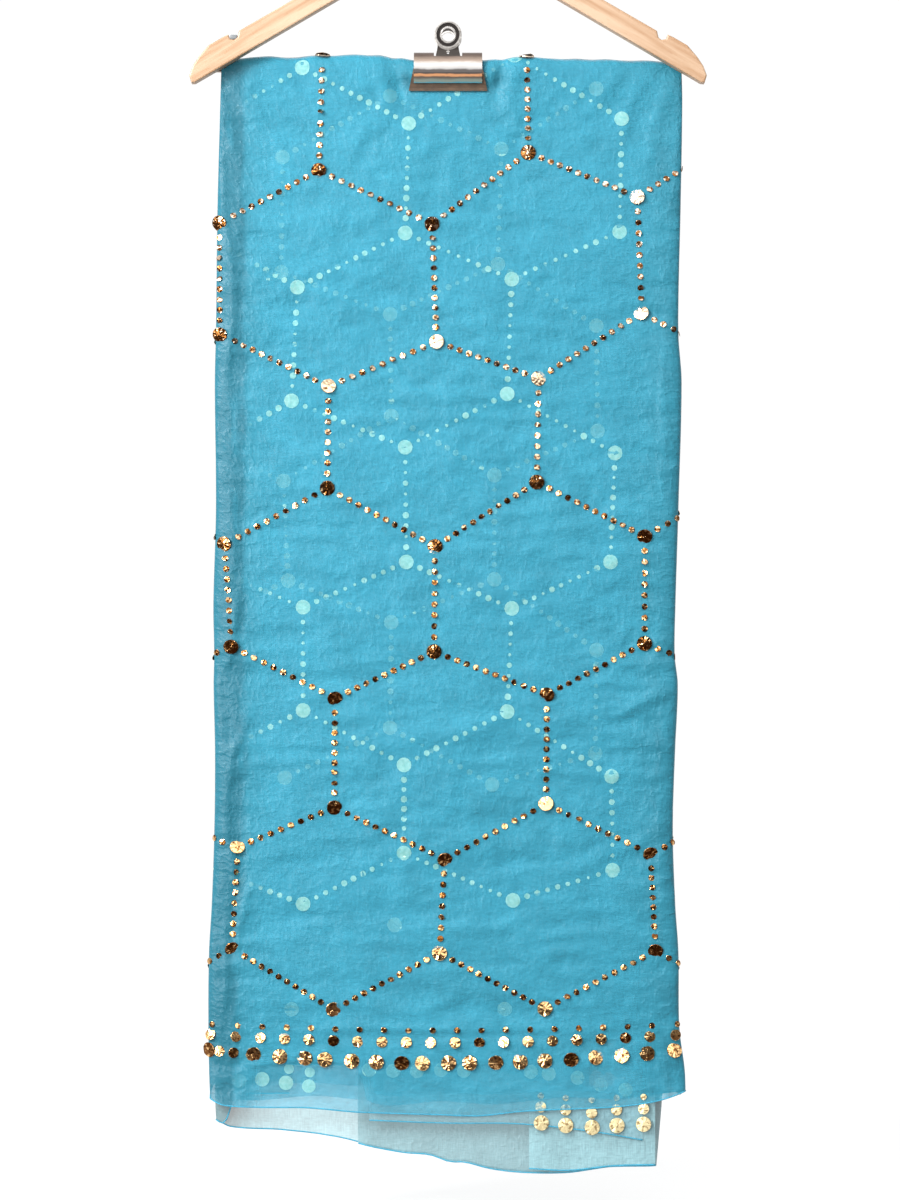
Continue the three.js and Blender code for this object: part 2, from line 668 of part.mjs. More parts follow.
// The spring: a bent sheet over both plates, with a slot on top where the necks come out.
function spring() {
  const over = steps(14).map((t) => {
    const angle = Math.PI * t;
    return { y: -SPRING_R * Math.cos(angle), z: SPRING_R * Math.sin(angle) - SPRING_CENTRE_DROP };
  });
  const skirt = (s) => SPRING_SKIRT.map(({ reach, drop }) => ({ y: s * reach, z: -drop }));
  const line = [...skirt(-1), ...over, ...skirt(1).reverse()];
  const normal = line.map((_, i) => {
    const a = line[Math.max(0, i - 1)];
    const b = line[Math.min(line.length - 1, i + 1)];
    return new THREE.Vector2(a.z - b.z, b.y - a.y).normalize();
  });
  const sheet = shell(line.length, 2, (i, j, face) => {
    const off = face === 0 ? SPRING_SHEET / 2 : -SPRING_SHEET / 2;
    const y = line[i].y + off * normal[i].x;
    const z = line[i].z + off * normal[i].y;
    return [j === 0 ? -SPRING_HALF : SPRING_HALF, BAR_Y + y, -HOOK_LIFT + z];
  });
  const slot = new THREE.BoxGeometry(2 * SPRING_SLOT.half, SPRING_SLOT.deep, SPRING_SLOT.tall);
  slot.translate(0, BAR_Y, -HOOK_LIFT - SPRING_SLOT.drop);
  return meshGeometry(solidOf(sheet).subtract(solidOf(slot)));
}

function named(name, geometry, finish) {
  const mesh = new THREE.Mesh(geometry, new THREE.MeshStandardMaterial(finish));
  mesh.name = name;
  return mesh;
}

function saree() {
  const front = outerStretch({
    side: 1,
    edgeTable: FRONT_EDGES,
    turns: FRONT_TURNS,
    hems: { panel: FRONT_HEM, left: LEFT_TURN_HEM, right: RIGHT_TURN_HEM },
    drops: FRONT_DROPS,
    foldColumns: 6,
    creased: true,
  });
  const back = outerStretch({
    side: -1,
    edgeTable: BACK_EDGES,
    turns: BACK_TURNS,
    hems: { panel: BACK_HEM, left: BACK_LEFT_TURN_HEM, right: BACK_HEM },
    drops: BACK_DROPS,
    foldColumns: 5,
    creased: false,
  });
  const group = new THREE.Group();
  group.add(
    named("front_stretch", front, CLOTH),
    named("back_stretch", back, CLOTH),
    named("hidden_layers", hiddenLayers(), CLOTH),
    named("middle_end", looseEnd(MIDDLE_END, 12, 3), CLOTH),
    named("bordered_end", looseEnd(BORDERED_END, 8, 4), CLOTH),
  );
  return group;
}

function hanger() {
  const group = new THREE.Group();
  group.add(
    named("hanger_arm_left", arm(-1), BEECH),
    named("hanger_arm_right", arm(1), BEECH),
    named("hanger_hook", hookWire(), STEEL),
    named("trouser_bar", barRod(), STEEL),
  );
  return group;
}

function clip() {
  const group = new THREE.Group();
  group.add(
    named("clip_jaw_front", jaw(1), STEEL),
    named("clip_jaw_back", jaw(-1), STEEL),
    named("clip_spring", spring(), STEEL),
  );
  return group;
}

const part = new THREE.Group();
part.add(hanger(), clip(), saree());

export default part;
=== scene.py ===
"""An organza saree, folded lengthwise and hung over the trouser bar of a wooden hanger, held by a clip.

Lengths are millimetres, up to the MM that turns them into metres. A place in the cloth is (x, drop, reach):
drop is measured down from the top fold, and reach out from the plane of the bar, to the front or the back.
"""
import math

import bpy
import numpy as np
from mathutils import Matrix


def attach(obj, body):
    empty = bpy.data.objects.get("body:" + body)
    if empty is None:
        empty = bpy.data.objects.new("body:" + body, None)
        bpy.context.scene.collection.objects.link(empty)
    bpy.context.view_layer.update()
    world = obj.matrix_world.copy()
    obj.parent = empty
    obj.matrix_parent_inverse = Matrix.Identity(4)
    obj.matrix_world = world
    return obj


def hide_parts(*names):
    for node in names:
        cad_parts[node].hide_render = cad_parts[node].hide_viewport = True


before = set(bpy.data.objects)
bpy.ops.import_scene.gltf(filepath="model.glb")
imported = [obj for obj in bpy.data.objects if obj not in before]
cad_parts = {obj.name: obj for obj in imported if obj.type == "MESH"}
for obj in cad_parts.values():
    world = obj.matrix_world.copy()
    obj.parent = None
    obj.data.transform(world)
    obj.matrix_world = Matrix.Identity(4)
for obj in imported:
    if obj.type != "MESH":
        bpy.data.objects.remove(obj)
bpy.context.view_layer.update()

MM = 0.001
TOP_Z = -192.0  # the top fold
BAR_Y = 14.6  # the middle of the trouser bar
BAR_DROP = 13.0
ARC = 16.0  # length of cloth from the top fold down to the bar's level
INSIDE = 2.8  # reach of the turned-in strips from the bar's plane
OUTSIDE = 6.8  # reach of the outer ply at the bar
PLY = 1.0
SHORT_OF_TOP = 0.3  # how far the plies stay under the traced line of the top fold
PANEL = 390.0  # width between the side folds
ACROSS = 398.0  # the same with the side folds
LOOSE_TOP = 850  # where the loose ends begin inside the bundle
CUT_DROP = 895.0  # the level at which the width of a ply's cut is read
FREE_FALL, PRESSED_FALL = 1.7, 2.5  # how far each half falls in below the bar, and in the clip
MOST_RISE_NEAR_TOP = 1.6
RING_RISE = 15.9  # the middle of the clip's rings, above the top fold
ARM_SLOPE = 30.4  # degrees
# The plies bunch together within this width of the side folds, and their colour is darkened there as painted
# shade.
GATHERED_AND_SHADED = 21.0  # how far in from the side folds the plies bunch together

# The photograph's scale: millimetres a pixel, the column of the middle and the row of the top fold.
PX_MM, PX_MIDDLE, PX_TOP = 0.861, 448, 52

# The border of the front, in pixels: the middle of its rows, and half their width.
BORDER_MIDDLE, BORDER_HALF = 445, 235
SMALL, LARGE = 2.65, 6.3  # radii of the net's gold discs
PITCH = 9.0  # from disc to disc along a line of the net
BIG = 4  # a disc over this radius is one of the large ones
RIM = 1.05  # size of a disc's rim, turned back, against the disc

# Side edges: drop, left, right.
FRONT_EDGES = [
    (0, -196, 202), (46, -197.5, 203), (132, -199.7, 201.5), (239, -201, 199.5), (284, -202, 202.3),
    (390, -201, 199.6), (476, -203.2, 197), (519, -202.5, 196.3), (545, -203, 199), (605, -201.8, 196.5),
    (670, -202.4, 194.7), (734, -204.6, 196.8), (776, -207, 199.6), (840, -207.6, 200.4),
    (885, -206.8, 205.6), (960, -203, 204),
]
BACK_EDGES = [
    (0, -196, 202), (130, -199, 200.5), (420, -202, 196), (700, -201, 192), (890, -203, 187),
    (965, -199, 181),
]
# Dips of the top fold: x, dip.
TOP_FOLD = [
    (-210, 6.2), (-186, 3.6), (-158, 1), (-140, 1.8), (-122, 0.2), (-71, -0.6), (-46, 0.8), (-30, 3.4),
    (30, 3.6), (50, 1.6), (68, 1), (100, 2.6), (135, 3.2), (165, 4.6), (210, 6.1),
]
# How much thicker each half is than at the bar: drop, loft.
LOFT = [(0, 0), (40, 0.1), (90, 1.8), (170, 4.2), (320, 5.6), (620, 5.8), (830, 4.6), (970, 3.6)]

# Hems: x, drop.
FRONT_HEM = [
    (-208, 901), (-192, 908), (-120, 910), (-79, 913.5), (-7, 916), (27, 917), (67, 912.7), (132, 910),
    (162, 907.5), (185, 903), (206, 895.5),
]
LEFT_TURN_HEM = [(-206, 898), (-196, 880), (-184, 874), (-79, 874)]
RIGHT_TURN_HEM = [(140, 903), (206, 896)]
BACK_HEM = [
    (-203, 922), (-190, 929), (-143, 932), (-98, 937.5), (-66, 945.4), (-37, 950.5), (-15, 952.4),
    (2, 958.2), (16, 958.8), (38, 964.3), (67, 967.6), (105, 967.8), (131, 964.4), (144, 962.6),
    (184, 962),
]
BACK_LEFT_TURN_HEM = [(-203, 922), (-194, 924), (-184, 903), (-150, 899)]
MIDDLE_HEM = [(-68, 921), (0, 923.5), (60, 924), (120, 930), (168, 938)]
BORDERED_HEM = [(70, 963), (105, 964.5), (140, 960.8), (179, 959.5)]

# Creases pressed or hung into the cloth: x, drop, half length, tilt in degrees, half width, rise.
FRONT_CREASES = [
    (-20, 298, 190, 2, 7, 1.2), (60, 322, 120, -3, 5, -0.9), (-120, 346, 90, 4, 6, 0.8),
    (-10, 588, 195, 1, 8, 1.5), (-90, 604, 90, -4, 5, -1.0), (70, 574, 120, 3, 5, 0.9),
    (30, 757, 180, -1, 7, 1.3), (-110, 744, 90, 3, 5, -0.9), (110, 772, 90, 2, 5, 0.9),
    (-5, 842, 200, 0, 2.4, 0.9), (0, 848, 200, 0.4, 2.2, -0.7), (-86, 518, 60, -42, 7, 1.4),
    (-70, 534, 52, -38, 5, -1.1), (-186, 500, 70, 80, 3, 1.8), (-192, 560, 60, 95, 3, -1.6),
    (-183, 600, 50, 70, 3, 1.5), (-188, 250, 80, 86, 3, 1.5), (-195, 330, 60, 92, 3, -1.5),
    (-185, 700, 60, 100, 3, 1.6), (-178, 750, 60, 78, 3, 1.2), (-196, 760, 50, 90, 3, -1.6),
    (-186, 850, 40, 84, 3, 1.5), (-192, 150, 70, 94, 3, 1.3), (52, 50, 34, 118, 7, 2.2),
    (-52, 48, 34, 62, 7, 2.2), (62, 78, 40, 128, 6, -1.4), (-64, 76, 40, 52, 6, -1.4),
    (20, 70, 30, 96, 5, 1.0), (-18, 72, 30, 84, 5, 1.0), (168, 560, 38, 22, 5, 2.0),
    (176, 592, 34, -20, 5, 1.6), (160, 577, 36, 4, 4, -1.4), (-178, 35, 64, -62, 6, 2.0),
    (-160, 58, 60, -58, 6, 1.5), (-187, 74, 46, -70, 5, 1.4), (-140, 24, 40, -50, 6, 1.2),
    (140, 22, 60, 60, 6, 1.8), (162, 40, 62, 66, 6, 1.6), (180, 62, 54, 72, 5, 1.5),
    (118, 30, 42, 52, 6, 1.1), (-190, 640, 60, 84, 5, 1.6), (-182, 720, 80, 86, 4, -1.2),
    (-193, 800, 60, 88, 4, 1.2), (-184, 180, 90, 86, 5, 1.1), (-186, 420, 90, 88, 4, 1.1),
    (186, 300, 90, 88, 4, 1.0), (184, 700, 90, 92, 4, 1.0), (60, 170, 130, 6, 9, 0.9),
    (-60, 220, 110, -5, 9, 0.8), (100, 430, 90, -6, 8, 0.9), (-80, 440, 100, 5, 8, 0.8),
    (20, 680, 120, 4, 9, 0.9),
]
BACK_CREASES = [
    (10, 290, 180, -2, 7, 1.2), (-70, 330, 110, 3, 6, -0.9), (0, 596, 185, -1, 8, 1.4),
    (80, 610, 90, 4, 5, -1.0), (-20, 760, 170, 1, 7, 1.2), (0, 842, 190, 0, 2.4, 0.9),
    (100, 520, 60, 40, 7, 1.3), (-176, 40, 64, -64, 6, 1.8), (-150, 62, 60, -56, 6, 1.4),
    (160, 40, 60, 64, 6, 1.7), (138, 64, 50, 56, 6, 1.3), (182, 640, 60, 92, 5, 1.2),
    (-184, 300, 90, 88, 4, 1.1), (-184, 700, 90, 90, 4, 1.1), (40, 180, 120, -5, 9, 0.9),
    (-60, 450, 110, 6, 8, 0.8),
]


def curve(rows, value=1):
    """A smooth line through a table's rows, read at places between them."""
    at = np.array([row[0] for row in rows], float)
    value_at = np.array([row[value] for row in rows], float)
    before = np.maximum(np.arange(len(at)) - 1, 0)
    after = np.minimum(np.arange(len(at)) + 1, len(at) - 1)
    slope = (value_at[after] - value_at[before]) / (at[after] - at[before])

    def read(place):
        p = np.clip(np.asarray(place, float), at[0], at[-1])
        i = np.clip(np.searchsorted(at, p, side="right") - 1, 0, len(at) - 2)
        width = at[i + 1] - at[i]
        t = (p - at[i]) / width
        rise = t * t * (3 - 2 * t)
        bend = (t**3 - 2 * t * t + t) * slope[i] + (t**3 - t * t) * slope[i + 1]
        return value_at[i] * (1 - rise) + value_at[i + 1] * rise + width * bend

    return read


def smooth_step(start, end, at):
    """0 up to the start, 1 from the end on, and a smooth rise between them."""
    t = np.clip((np.asarray(at, float) - start) / (end - start), 0, 1)
    return t * t * (3 - 2 * t)


def hill(at, middle, width):
    """1 at the middle, falling off smoothly on both sides."""
    return np.exp(-(((at - middle) / width) ** 2))


def soft_noise(seed):
    """Smooth noise over the plane, about -1 to 1, the same each time for one seed."""
    turn = np.random.default_rng(seed).uniform(0, 2 * math.pi, (64, 64))

    def read(u, v):
        i, j = np.floor(u).astype(int), np.floor(v).astype(int)
        fu, fv = u - i, v - j
        su, sv = fu * fu * (3 - 2 * fu), fv * fv * (3 - 2 * fv)

        def corner(a, b):
            angle = turn[(i + a) % 64, (j + b) % 64]
            return np.cos(angle) * (fu - a) + np.sin(angle) * (fv - b)

        upper = corner(0, 0) * (1 - su) + corner(1, 0) * su
        lower = corner(0, 1) * (1 - su) + corner(1, 1) * su
        return 1.5 * (upper * (1 - sv) + lower * sv)

    return read


dip_table, dip_noise = curve(TOP_FOLD), soft_noise(7)
loft_at = curve(LOFT)
SIDES = {
    1: {"left": curve(FRONT_EDGES, 1), "right": curve(FRONT_EDGES, 2), "creases": FRONT_CREASES, "seed": 11},
    -1: {"left": curve(BACK_EDGES, 1), "right": curve(BACK_EDGES, 2), "creases": BACK_CREASES, "seed": 57},
}


def dip_at(x):
    """How far the top fold lies below its level, with small uneven waves."""
    return dip_table(x) + 0.7 * dip_noise(np.asarray(x) / 15, 0.3) + SHORT_OF_TOP


def fall_in(x, drop):
    """How far both halves fall in towards each other, below the bar and in the clip."""
    free = FREE_FALL * smooth_step(17, 72, drop)
    pressed = PRESSED_FALL * smooth_step(17, 28, drop)
    held = (1 - smooth_step(37, 78, np.abs(x))) * (1 - smooth_step(37, 84, drop))
    return free + (pressed - free) * held


def relief(side, x, drop):
    """Creases, hung waves and crumples of the outer cloth, in millimetres outwards."""
    out = np.zeros(np.broadcast(x, drop).shape)
    for cx, cd, half, tilt, width, rise in SIDES[side]["creases"]:
        angle = math.radians(tilt)
        dx, dz = x - cx, cd - drop
        along = (dx * math.cos(angle) + dz * math.sin(angle)) / half
        across = (dz * math.cos(angle) - dx * math.sin(angle)) / width
        across = across + 0.35 * np.sin(along * 5 + cx)
        out = out + rise * np.exp(-(across**2)) * (1 - smooth_step(0, 1, np.abs(along)))
    # Long, cross and crisp ridges, over broad waves.
    seed = SIDES[side]["seed"]
    broad, long, short, fine = (soft_noise(seed + k) for k in range(4))
    bend = 0.35 * broad(x / 70, drop / 60)
    ridge = 1 - np.sqrt(long(x / 92 + bend, drop / 24 + bend) ** 2 + 0.001)
    cross = 1 - np.sqrt(short(x / 36 - bend, drop / 13 + bend) ** 2 + 0.001)
    crisp = 1 - np.sqrt(fine(x / 19 + 2.5 * bend + drop / 60, drop / 8.5 - 2 * bend) ** 2 + 0.0004)
    uneven = 0.75 + 0.5 * long(x / 95 + 9, drop / 120)
    small = uneven * (1.7 * (cross - 0.7) + 1.3 * (crisp - 0.7))
    out = out + 1.3 * broad(x / 120, drop / 75) + 2.1 * (ridge - 0.7) + small
    # Flatter under the top fold and in the clip, with a hollow and a ridge on each side of the clip.
    near_top = 1 - smooth_step(50, 110, drop)
    over = out - MOST_RISE_NEAR_TOP
    out = np.where(over > 0, MOST_RISE_NEAR_TOP + over * (1 - near_top), out)
    in_clip = (1 - smooth_step(32, 62, np.abs(x))) * (1 - smooth_step(33, 70, drop))
    beside_clip = np.abs(x) + 0.25 * (drop - 24)
    pinched = hill(beside_clip, 44, 5) - 0.7 * hill(beside_clip, 57, 6)
    return out * smooth_step(2, 30, drop) * (1 - in_clip) - 1.9 * pinched * hill(drop, 26, 17)


def section(side, drop):
    """A level's section: half width and half depth of its side folds, and the ends of the panel between."""
    loft = loft_at(drop)
    wide = 3.5 + 1.5 * loft
    half = (OUTSIDE - INSIDE - PLY + loft) / 2
    left = SIDES[side]["left"](drop) + wide + 0.5
    right = SIDES[side]["right"](drop) - wide - 0.5
    return wide, half, left, right


def cloth_place(side, c, v, under=0.0):
    """Points of an outer ply, or of one that lies so far under it. c runs over its section: below -1 the
    turned-in strip at the left, -1 to 0 the round side fold, 0 to 1 the wide panel, 1 to 2 the other fold,
    and above 2 its strip. v runs down from the bar's level, and is negative up to the top fold."""
    c, v = np.broadcast_arrays(np.asarray(c, float), np.asarray(v, float))
    drop = BAR_DROP + np.maximum(v, 0)
    angle = np.clip(-v / ARC, 0, 1) * math.pi / 2
    wide, half, left, right = section(side, drop)
    span = right - left
    turn_left, turn_right = -1 - c, c - 2
    round_left = math.pi * (0.5 + np.clip(c, -1, 0))
    round_right = math.pi * (0.5 - np.clip(c - 1, 0, 1))
    x = left + span * np.clip(c, 0, 1)
    x = np.where(c < 0, left - np.cos(round_left) * wide, x)
    x = np.where(c > 1, right + np.cos(round_right) * wide, x)
    x = np.where(c < -1, left + span * turn_left, x)
    x = np.where(c > 2, right - span * turn_right, x)
    lifted = np.where(c > 1, (1 + np.sin(round_right)) / 2, 1.0)
    lifted = np.where(c < 0, (1 + np.sin(round_left)) / 2, lifted)
    reach = INSIDE + PLY / 2 + 2 * half * lifted
    shape = relief(side, x, drop) * lifted
    reach = reach + shape - under * (2 * lifted - 1)
    sideways = np.where(c < 0, np.cos(round_left), np.where(c > 1, -np.cos(round_right), 0.0))
    x = x + 0.3 * under * sideways
    lift = (BAR_DROP - OUTSIDE - dip_at(x)) * lifted
    out = reach + lift
    over_bar = np.maximum(0.15, reach * np.cos(angle))
    y = BAR_Y - side * np.where(angle > 0, over_bar, reach - fall_in(x, drop))
    z = np.where(angle > 0, TOP_Z - BAR_DROP + out * np.sin(angle), TOP_Z - drop)
    return np.stack([x, y, z], -1)


def mesh_piece(name, points, faces, finish, smooth=True):
    """Points, in millimetres, and faces as a piece of the scene."""
    mesh = bpy.data.meshes.new(name)
    mesh.from_pydata((np.asarray(points).reshape(-1, 3) * MM).tolist(), [], faces)
    if smooth:
        mesh.shade_smooth()
    mesh.materials.append(finish)
    return placed(bpy.data.objects.new(name, mesh))


def grid(name, points, flat, finish, gathered_and_shaded=0.0, outward=True):
    """A cloth mesh of rows and columns of points, with its cut, in metres, as a UV map, and how far its plies
    bunch together at each point, which also sets how much painted shade darkens them."""
    rows, columns = points.shape[:2]
    index = np.arange(rows * columns).reshape(rows, columns)
    corners = [index[:-1, :-1], index[1:, :-1], index[1:, 1:], index[:-1, 1:]]
    faces = np.stack(corners if outward else corners[::-1], -1).reshape(-1, 4)
    piece = mesh_piece(name, points, faces.tolist(), finish)
    mesh = piece.data
    cut = mesh.uv_layers.new(name="cut")
    loops = np.empty(len(mesh.loops), int)
    mesh.loops.foreach_get("vertex_index", loops)
    cut.uv.foreach_set("vector", (flat.reshape(-1, 2)[loops] * MM).ravel())
    bunched_and_shaded = mesh.attributes.new("gathered_and_shaded", "FLOAT", "POINT")
    bunched_and_shaded.data.foreach_set("value", np.broadcast_to(gathered_and_shaded, (rows, columns)).ravel().astype(float))
    return piece


def gather_and_shade(c, along, seed):
    """How far the plies bunch together, towards the side folds and beside the clip, and so how much painted
    shade darkens them there.
    """
    c, along = np.broadcast_arrays(np.asarray(c, float), np.asarray(along, float))
    inward = np.clip(np.minimum(c, 1 - c), 0, 1) * PANEL
    uneven = 1 + 0.45 * soft_noise(seed)(inward / 9, along / 34)
    # Painted shade: the left fold is darkened twice as much as the right, against the key lamp that lights it
    # from the left.
    at_folds = hill(inward, 0, GATHERED_AND_SHADED) * uneven * np.where(c < 0.5, 1.6, 0.8)
    # Painted shade beside the clip, where the plies are also pressed together.
    from_clip = np.abs(c * ACROSS - ACROSS / 2) + 0.25 * (along - 10)
    at_clip = hill(from_clip, 39, 8) * hill(along, 10, 14)
    return np.maximum(at_folds, 1.3 * at_clip)


def placed(obj):
    """Puts an object into the scene."""
    bpy.context.scene.collection.objects.link(obj)
    return obj


def outer_sheet(name, side, c, hems, rows, finish):
    """One ply of an outer stretch, from the top fold to its hems, with columns at the places c."""
    left_hem, panel_hem, right_hem = (curve(rows_of_hem) for rows_of_hem in hems)
    arc = np.linspace(-ARC, 0, 10)[:-1]
    nominal = cloth_place(side, c, np.full(len(c), CUT_DROP))[:, 0]
    end = np.where(c > 1.5, right_hem(nominal), panel_hem(nominal))
    end = np.where(c < -0.5, left_hem(nominal), end) - BAR_DROP
    below = np.linspace(0, 1, rows)[:, None] * end[None, :]
    v = np.concatenate([np.repeat(arc[:, None], len(c), 1), below])
    points = cloth_place(side, c[None, :], v)
    flat = np.stack([np.broadcast_to(nominal, v.shape), v], -1)
    bunched_and_shaded = gather_and_shade(c[None, :], v, 31 + side)
    return grid(name, points, flat, finish, bunched_and_shaded, outward=side > 0), points


def section_columns(left_turn, right_turn, turned=24):
    """Places across an outer ply: its turned-in strips, its side folds and its panel."""
    return np.concatenate([
        np.linspace(-1 - left_turn, -1, turned)[:-1], np.linspace(-1, 0, 9)[:-1], np.linspace(0, 1, 150)[:-1],
        np.linspace(1, 2, 9)[:-1], np.linspace(2, 2 + right_turn, turned),
    ])


# Materials.
def srgb(code):
    """A colour given as sRGB hex, as the linear values that shaders read."""
    parts = [int(code[i:i + 2], 16) / 255 for i in (1, 3, 5)]
    return (*[p / 12.92 if p <= 0.04045 else ((p + 0.055) / 1.055) ** 2.4 for p in parts], 1)


def add(material, kind, inputs=None, **settings):
    """Adds one node to a material or the world, with its settings and the values or links of its inputs."""
    node = material.node_tree.nodes.new(kind)
    for key, value in settings.items():
        setattr(node, key, value)
    for key, value in (inputs or {}).items():
        if isinstance(value, bpy.types.NodeSocket):
            material.node_tree.links.new(value, node.inputs[key])
        else:
            node.inputs[key].default_value = value
    return node


def material(name, **values):
    """A Principled material with the named inputs set."""
    made = bpy.data.materials.new(name)
    made.use_nodes = True
    shader = made.node_tree.nodes["Principled BSDF"]
    for key, value in values.items():
        shader.inputs[key.replace("_", " ")].default_value = value
    return made, shader


def scaled(colour, by):
    """A lighter or darker colour."""
    return tuple(min(1.0, value * by) for value in colour[:3]) + (1,)


def object_place(made):
    return add(made, "ShaderNodeTexCoord").outputs["Object"]


def noise(made, where, size, detail=3.0, turn=(0, 0, 0)):
    """Noise whose grains measure size, in millimetres, along each axis of the coordinates."""
    inputs = {"Vector": where, "Rotation": turn, "Scale": tuple(length * MM for length in size)}
    grain = add(made, "ShaderNodeMapping", inputs, vector_type="TEXTURE").outputs[0]
    inputs = {"Vector": grain, "Scale": 1.0, "Detail": detail}
    return add(made, "ShaderNodeTexNoise", inputs).outputs["Fac"]


def crease_lines(made, where, size, lean):
    """Thin sharp ridges, as where crisp cloth has been crushed: 0 to 0.5."""
    grain = noise(made, where, size, 2.0, (0, 0, math.radians(lean)))
    middle = add(made, "ShaderNodeMath", {0: grain, 1: 0.5}, operation="SUBTRACT")
    away = add(made, "ShaderNodeMath", {0: middle.outputs[0]}, operation="ABSOLUTE")
    return between(made, away.outputs[0], 0.0, 0.11, 0.5, 0.0)


def between(made, value, start, end, low=0.0, high=1.0):
    """Low up to the start, high from the end on, and even steps between them."""
    inputs = {"Value": value, "From Min": start, "From Max": end, "To Min": low, "To Max": high}
    return add(made, "ShaderNodeMapRange", inputs).outputs["Result"]


def blend(made, share, first, second):
    """The first colour where the share is 0, the second where it is 1."""
    return add(made, "ShaderNodeMix", {0: share, 6: first, 7: second}, data_type="RGBA").outputs[2]


def summed(made, first, second):
    return add(made, "ShaderNodeMath", {0: first, 1: second}, operation="ADD").outputs[0]


def wire_up(made, shader, colour, height, strength, distance):
    """Links a colour and a bump, its depth in millimetres, to a shader."""
    made.node_tree.links.new(colour, shader.inputs["Base Color"])
    bump = add(made, "ShaderNodeBump", {"Height": height, "Strength": strength, "Distance": distance * MM})
    made.node_tree.links.new(bump.outputs["Normal"], shader.inputs["Normal"])


def organza(name, colour, alpha, bunched_alpha, outer=True, above=None):
    """Sheer silk organza: see-through, with a dry gloss, slubs along its threads, small crisp crinkles on an
    outer ply, and denser bands where the plies bunch together at the side folds and beside the clip, their
    colour darkened there as painted shade. A ply that hangs out alone keeps a paler colour, painted light
    that stands for light shining through a single ply, and higher up, where others lie under it, a deeper one."""
    made, shader = material(name, Roughness=0.42)
    shader.inputs["Sheen Weight"].default_value = 0.08
    shader.inputs["Sheen Roughness"].default_value = 0.4
    shader.inputs["Specular IOR Level"].default_value = 0.25
    cut = add(made, "ShaderNodeUVMap", uv_map="cut").outputs["UV"]
    slubs = noise(made, cut, (9, 0.5, 1), 1.0)
    warps = noise(made, cut, (0.6, 14, 1), 1.0) if outer else slubs
    cloud = noise(made, cut, (34, 26, 1), 3.0)
    crinkle = crease_lines(made, cut, (15, 9, 1), 24) if outer else slubs
    if outer:
        crinkle = summed(made, crinkle, crease_lines(made, cut, (9, 13, 1), -31))
    tone = between(made, summed(made, summed(made, slubs, warps), cloud), 1.15, 1.85)
    bunched_and_shaded = add(made, "ShaderNodeAttribute", attribute_name="gathered_and_shaded").outputs["Fac"]
    made.node_tree.links.new(between(made, bunched_and_shaded, 0.0, 0.8, alpha, bunched_alpha), shader.inputs["Alpha"])
    # Painted shade, with the plies' density: the colour darkens where the plies bunch together.
    fold_density_and_shade = between(made, bunched_and_shaded, 0.0, 1.3, 0.0, 0.85)

    def dyed_and_fold_shaded(shade):
        weave = blend(made, tone, scaled(srgb(shade), 0.8), scaled(srgb(shade), 1.18))
        return blend(made, fold_density_and_shade, weave, scaled(srgb(shade), 0.37))

    colours = dyed_and_fold_shaded(colour)
    # Painted light: the ply keeps the paler colour where it hangs alone, as if lit through, and takes the
    # deeper one higher up, where other plies lie under it.
    if above:
        height = add(made, "ShaderNodeSeparateXYZ", {"Vector": object_place(made)}).outputs["Z"]
        covered = between(made, height, (TOP_Z - 896) * MM, (TOP_Z - 884) * MM)
        colours = blend(made, covered, colours, dyed_and_fold_shaded(above))
    threads = summed(made, between(made, slubs, 0, 1, 0, 0.12), between(made, warps, 0, 1, 0, 0.12))
    wire_up(made, shader, colours, summed(made, crinkle, threads), 0.45, 1.2)
    return made


def beech(name, pale, dark):
    """Pale planed beech: fine straight grain that runs down both arms, darker flecks, a dull varnish."""
    made, shader = material(name, Roughness=0.42)
    parts = add(made, "ShaderNodeSeparateXYZ", {"Vector": object_place(made)})
    side = add(made, "ShaderNodeMath", {0: parts.outputs["X"]}, operation="ABSOLUTE")
    inputs = {"X": side.outputs[0], "Y": parts.outputs["Y"], "Z": parts.outputs["Z"]}
    folded = add(made, "ShaderNodeCombineXYZ", inputs).outputs[0]
    down_arm = (0, math.radians(ARM_SLOPE), 0)
    broad = between(made, noise(made, folded, (70, 5, 5), 3.0, down_arm), 0.35, 0.68)
    flecks = between(made, noise(made, folded, (9, 0.7, 0.7), 2.0, down_arm), 0.6, 0.8, 0, 0.55)
    colours = blend(made, summed(made, broad, flecks), srgb(pale), srgb(dark))
    wire_up(made, shader, colours, flecks, 0.25, 0.2)
    return made


def foil(name, colour, dark, pale, mirror=1.0, roughness=0.2):
    """Gold foil on a plastic sequin: a mirror with fine creases, dark brown spots painted on as dark
    reflections, more of them on discs that face down, and paler, more silvery foil higher up as a painted
    highlight."""
    made, shader = material(name, Metallic=mirror, Roughness=roughness)
    where = object_place(made)
    # Painted reflection: dark brown spots on the foil, more of them on discs that face down.
    dark_reflection_bias = add(made, "ShaderNodeAttribute", attribute_name="dark_reflection_bias").outputs["Fac"]
    shift = between(made, dark_reflection_bias, -1.0, 1.0, -0.1, 0.1)
    dark_reflection_spots = between(made, summed(made, noise(made, where, (2.8, 2.8, 2.8), 2.0), shift), 0.47, 0.56)
    creases = noise(made, where, (1.6, 1.6, 1.6), 2.0)
    # Painted highlight: the foil turns paler higher up, towards the light from above.
    height = add(made, "ShaderNodeSeparateXYZ", {"Vector": where}).outputs["Z"]
    upper = between(made, height, -0.75, -0.35)
    bright = blend(made, upper, srgb(colour), srgb(pale))
    wire_up(made, shader, blend(made, dark_reflection_spots, bright, srgb(dark)), creases, 0.6, 0.5)
    return made


def plastic_disc(name, colour, pale):
    """The pale green back of a sequin that shows through the cloth, a little mottled."""
    made, shader = material(name, Roughness=0.5)
    where = object_place(made)
    mottle = between(made, noise(made, where, (3, 3, 3)), 0.35, 0.65)
    wire_up(made, shader, blend(made, mottle, srgb(colour), srgb(pale)), mottle, 0.3, 0.2)
    return made


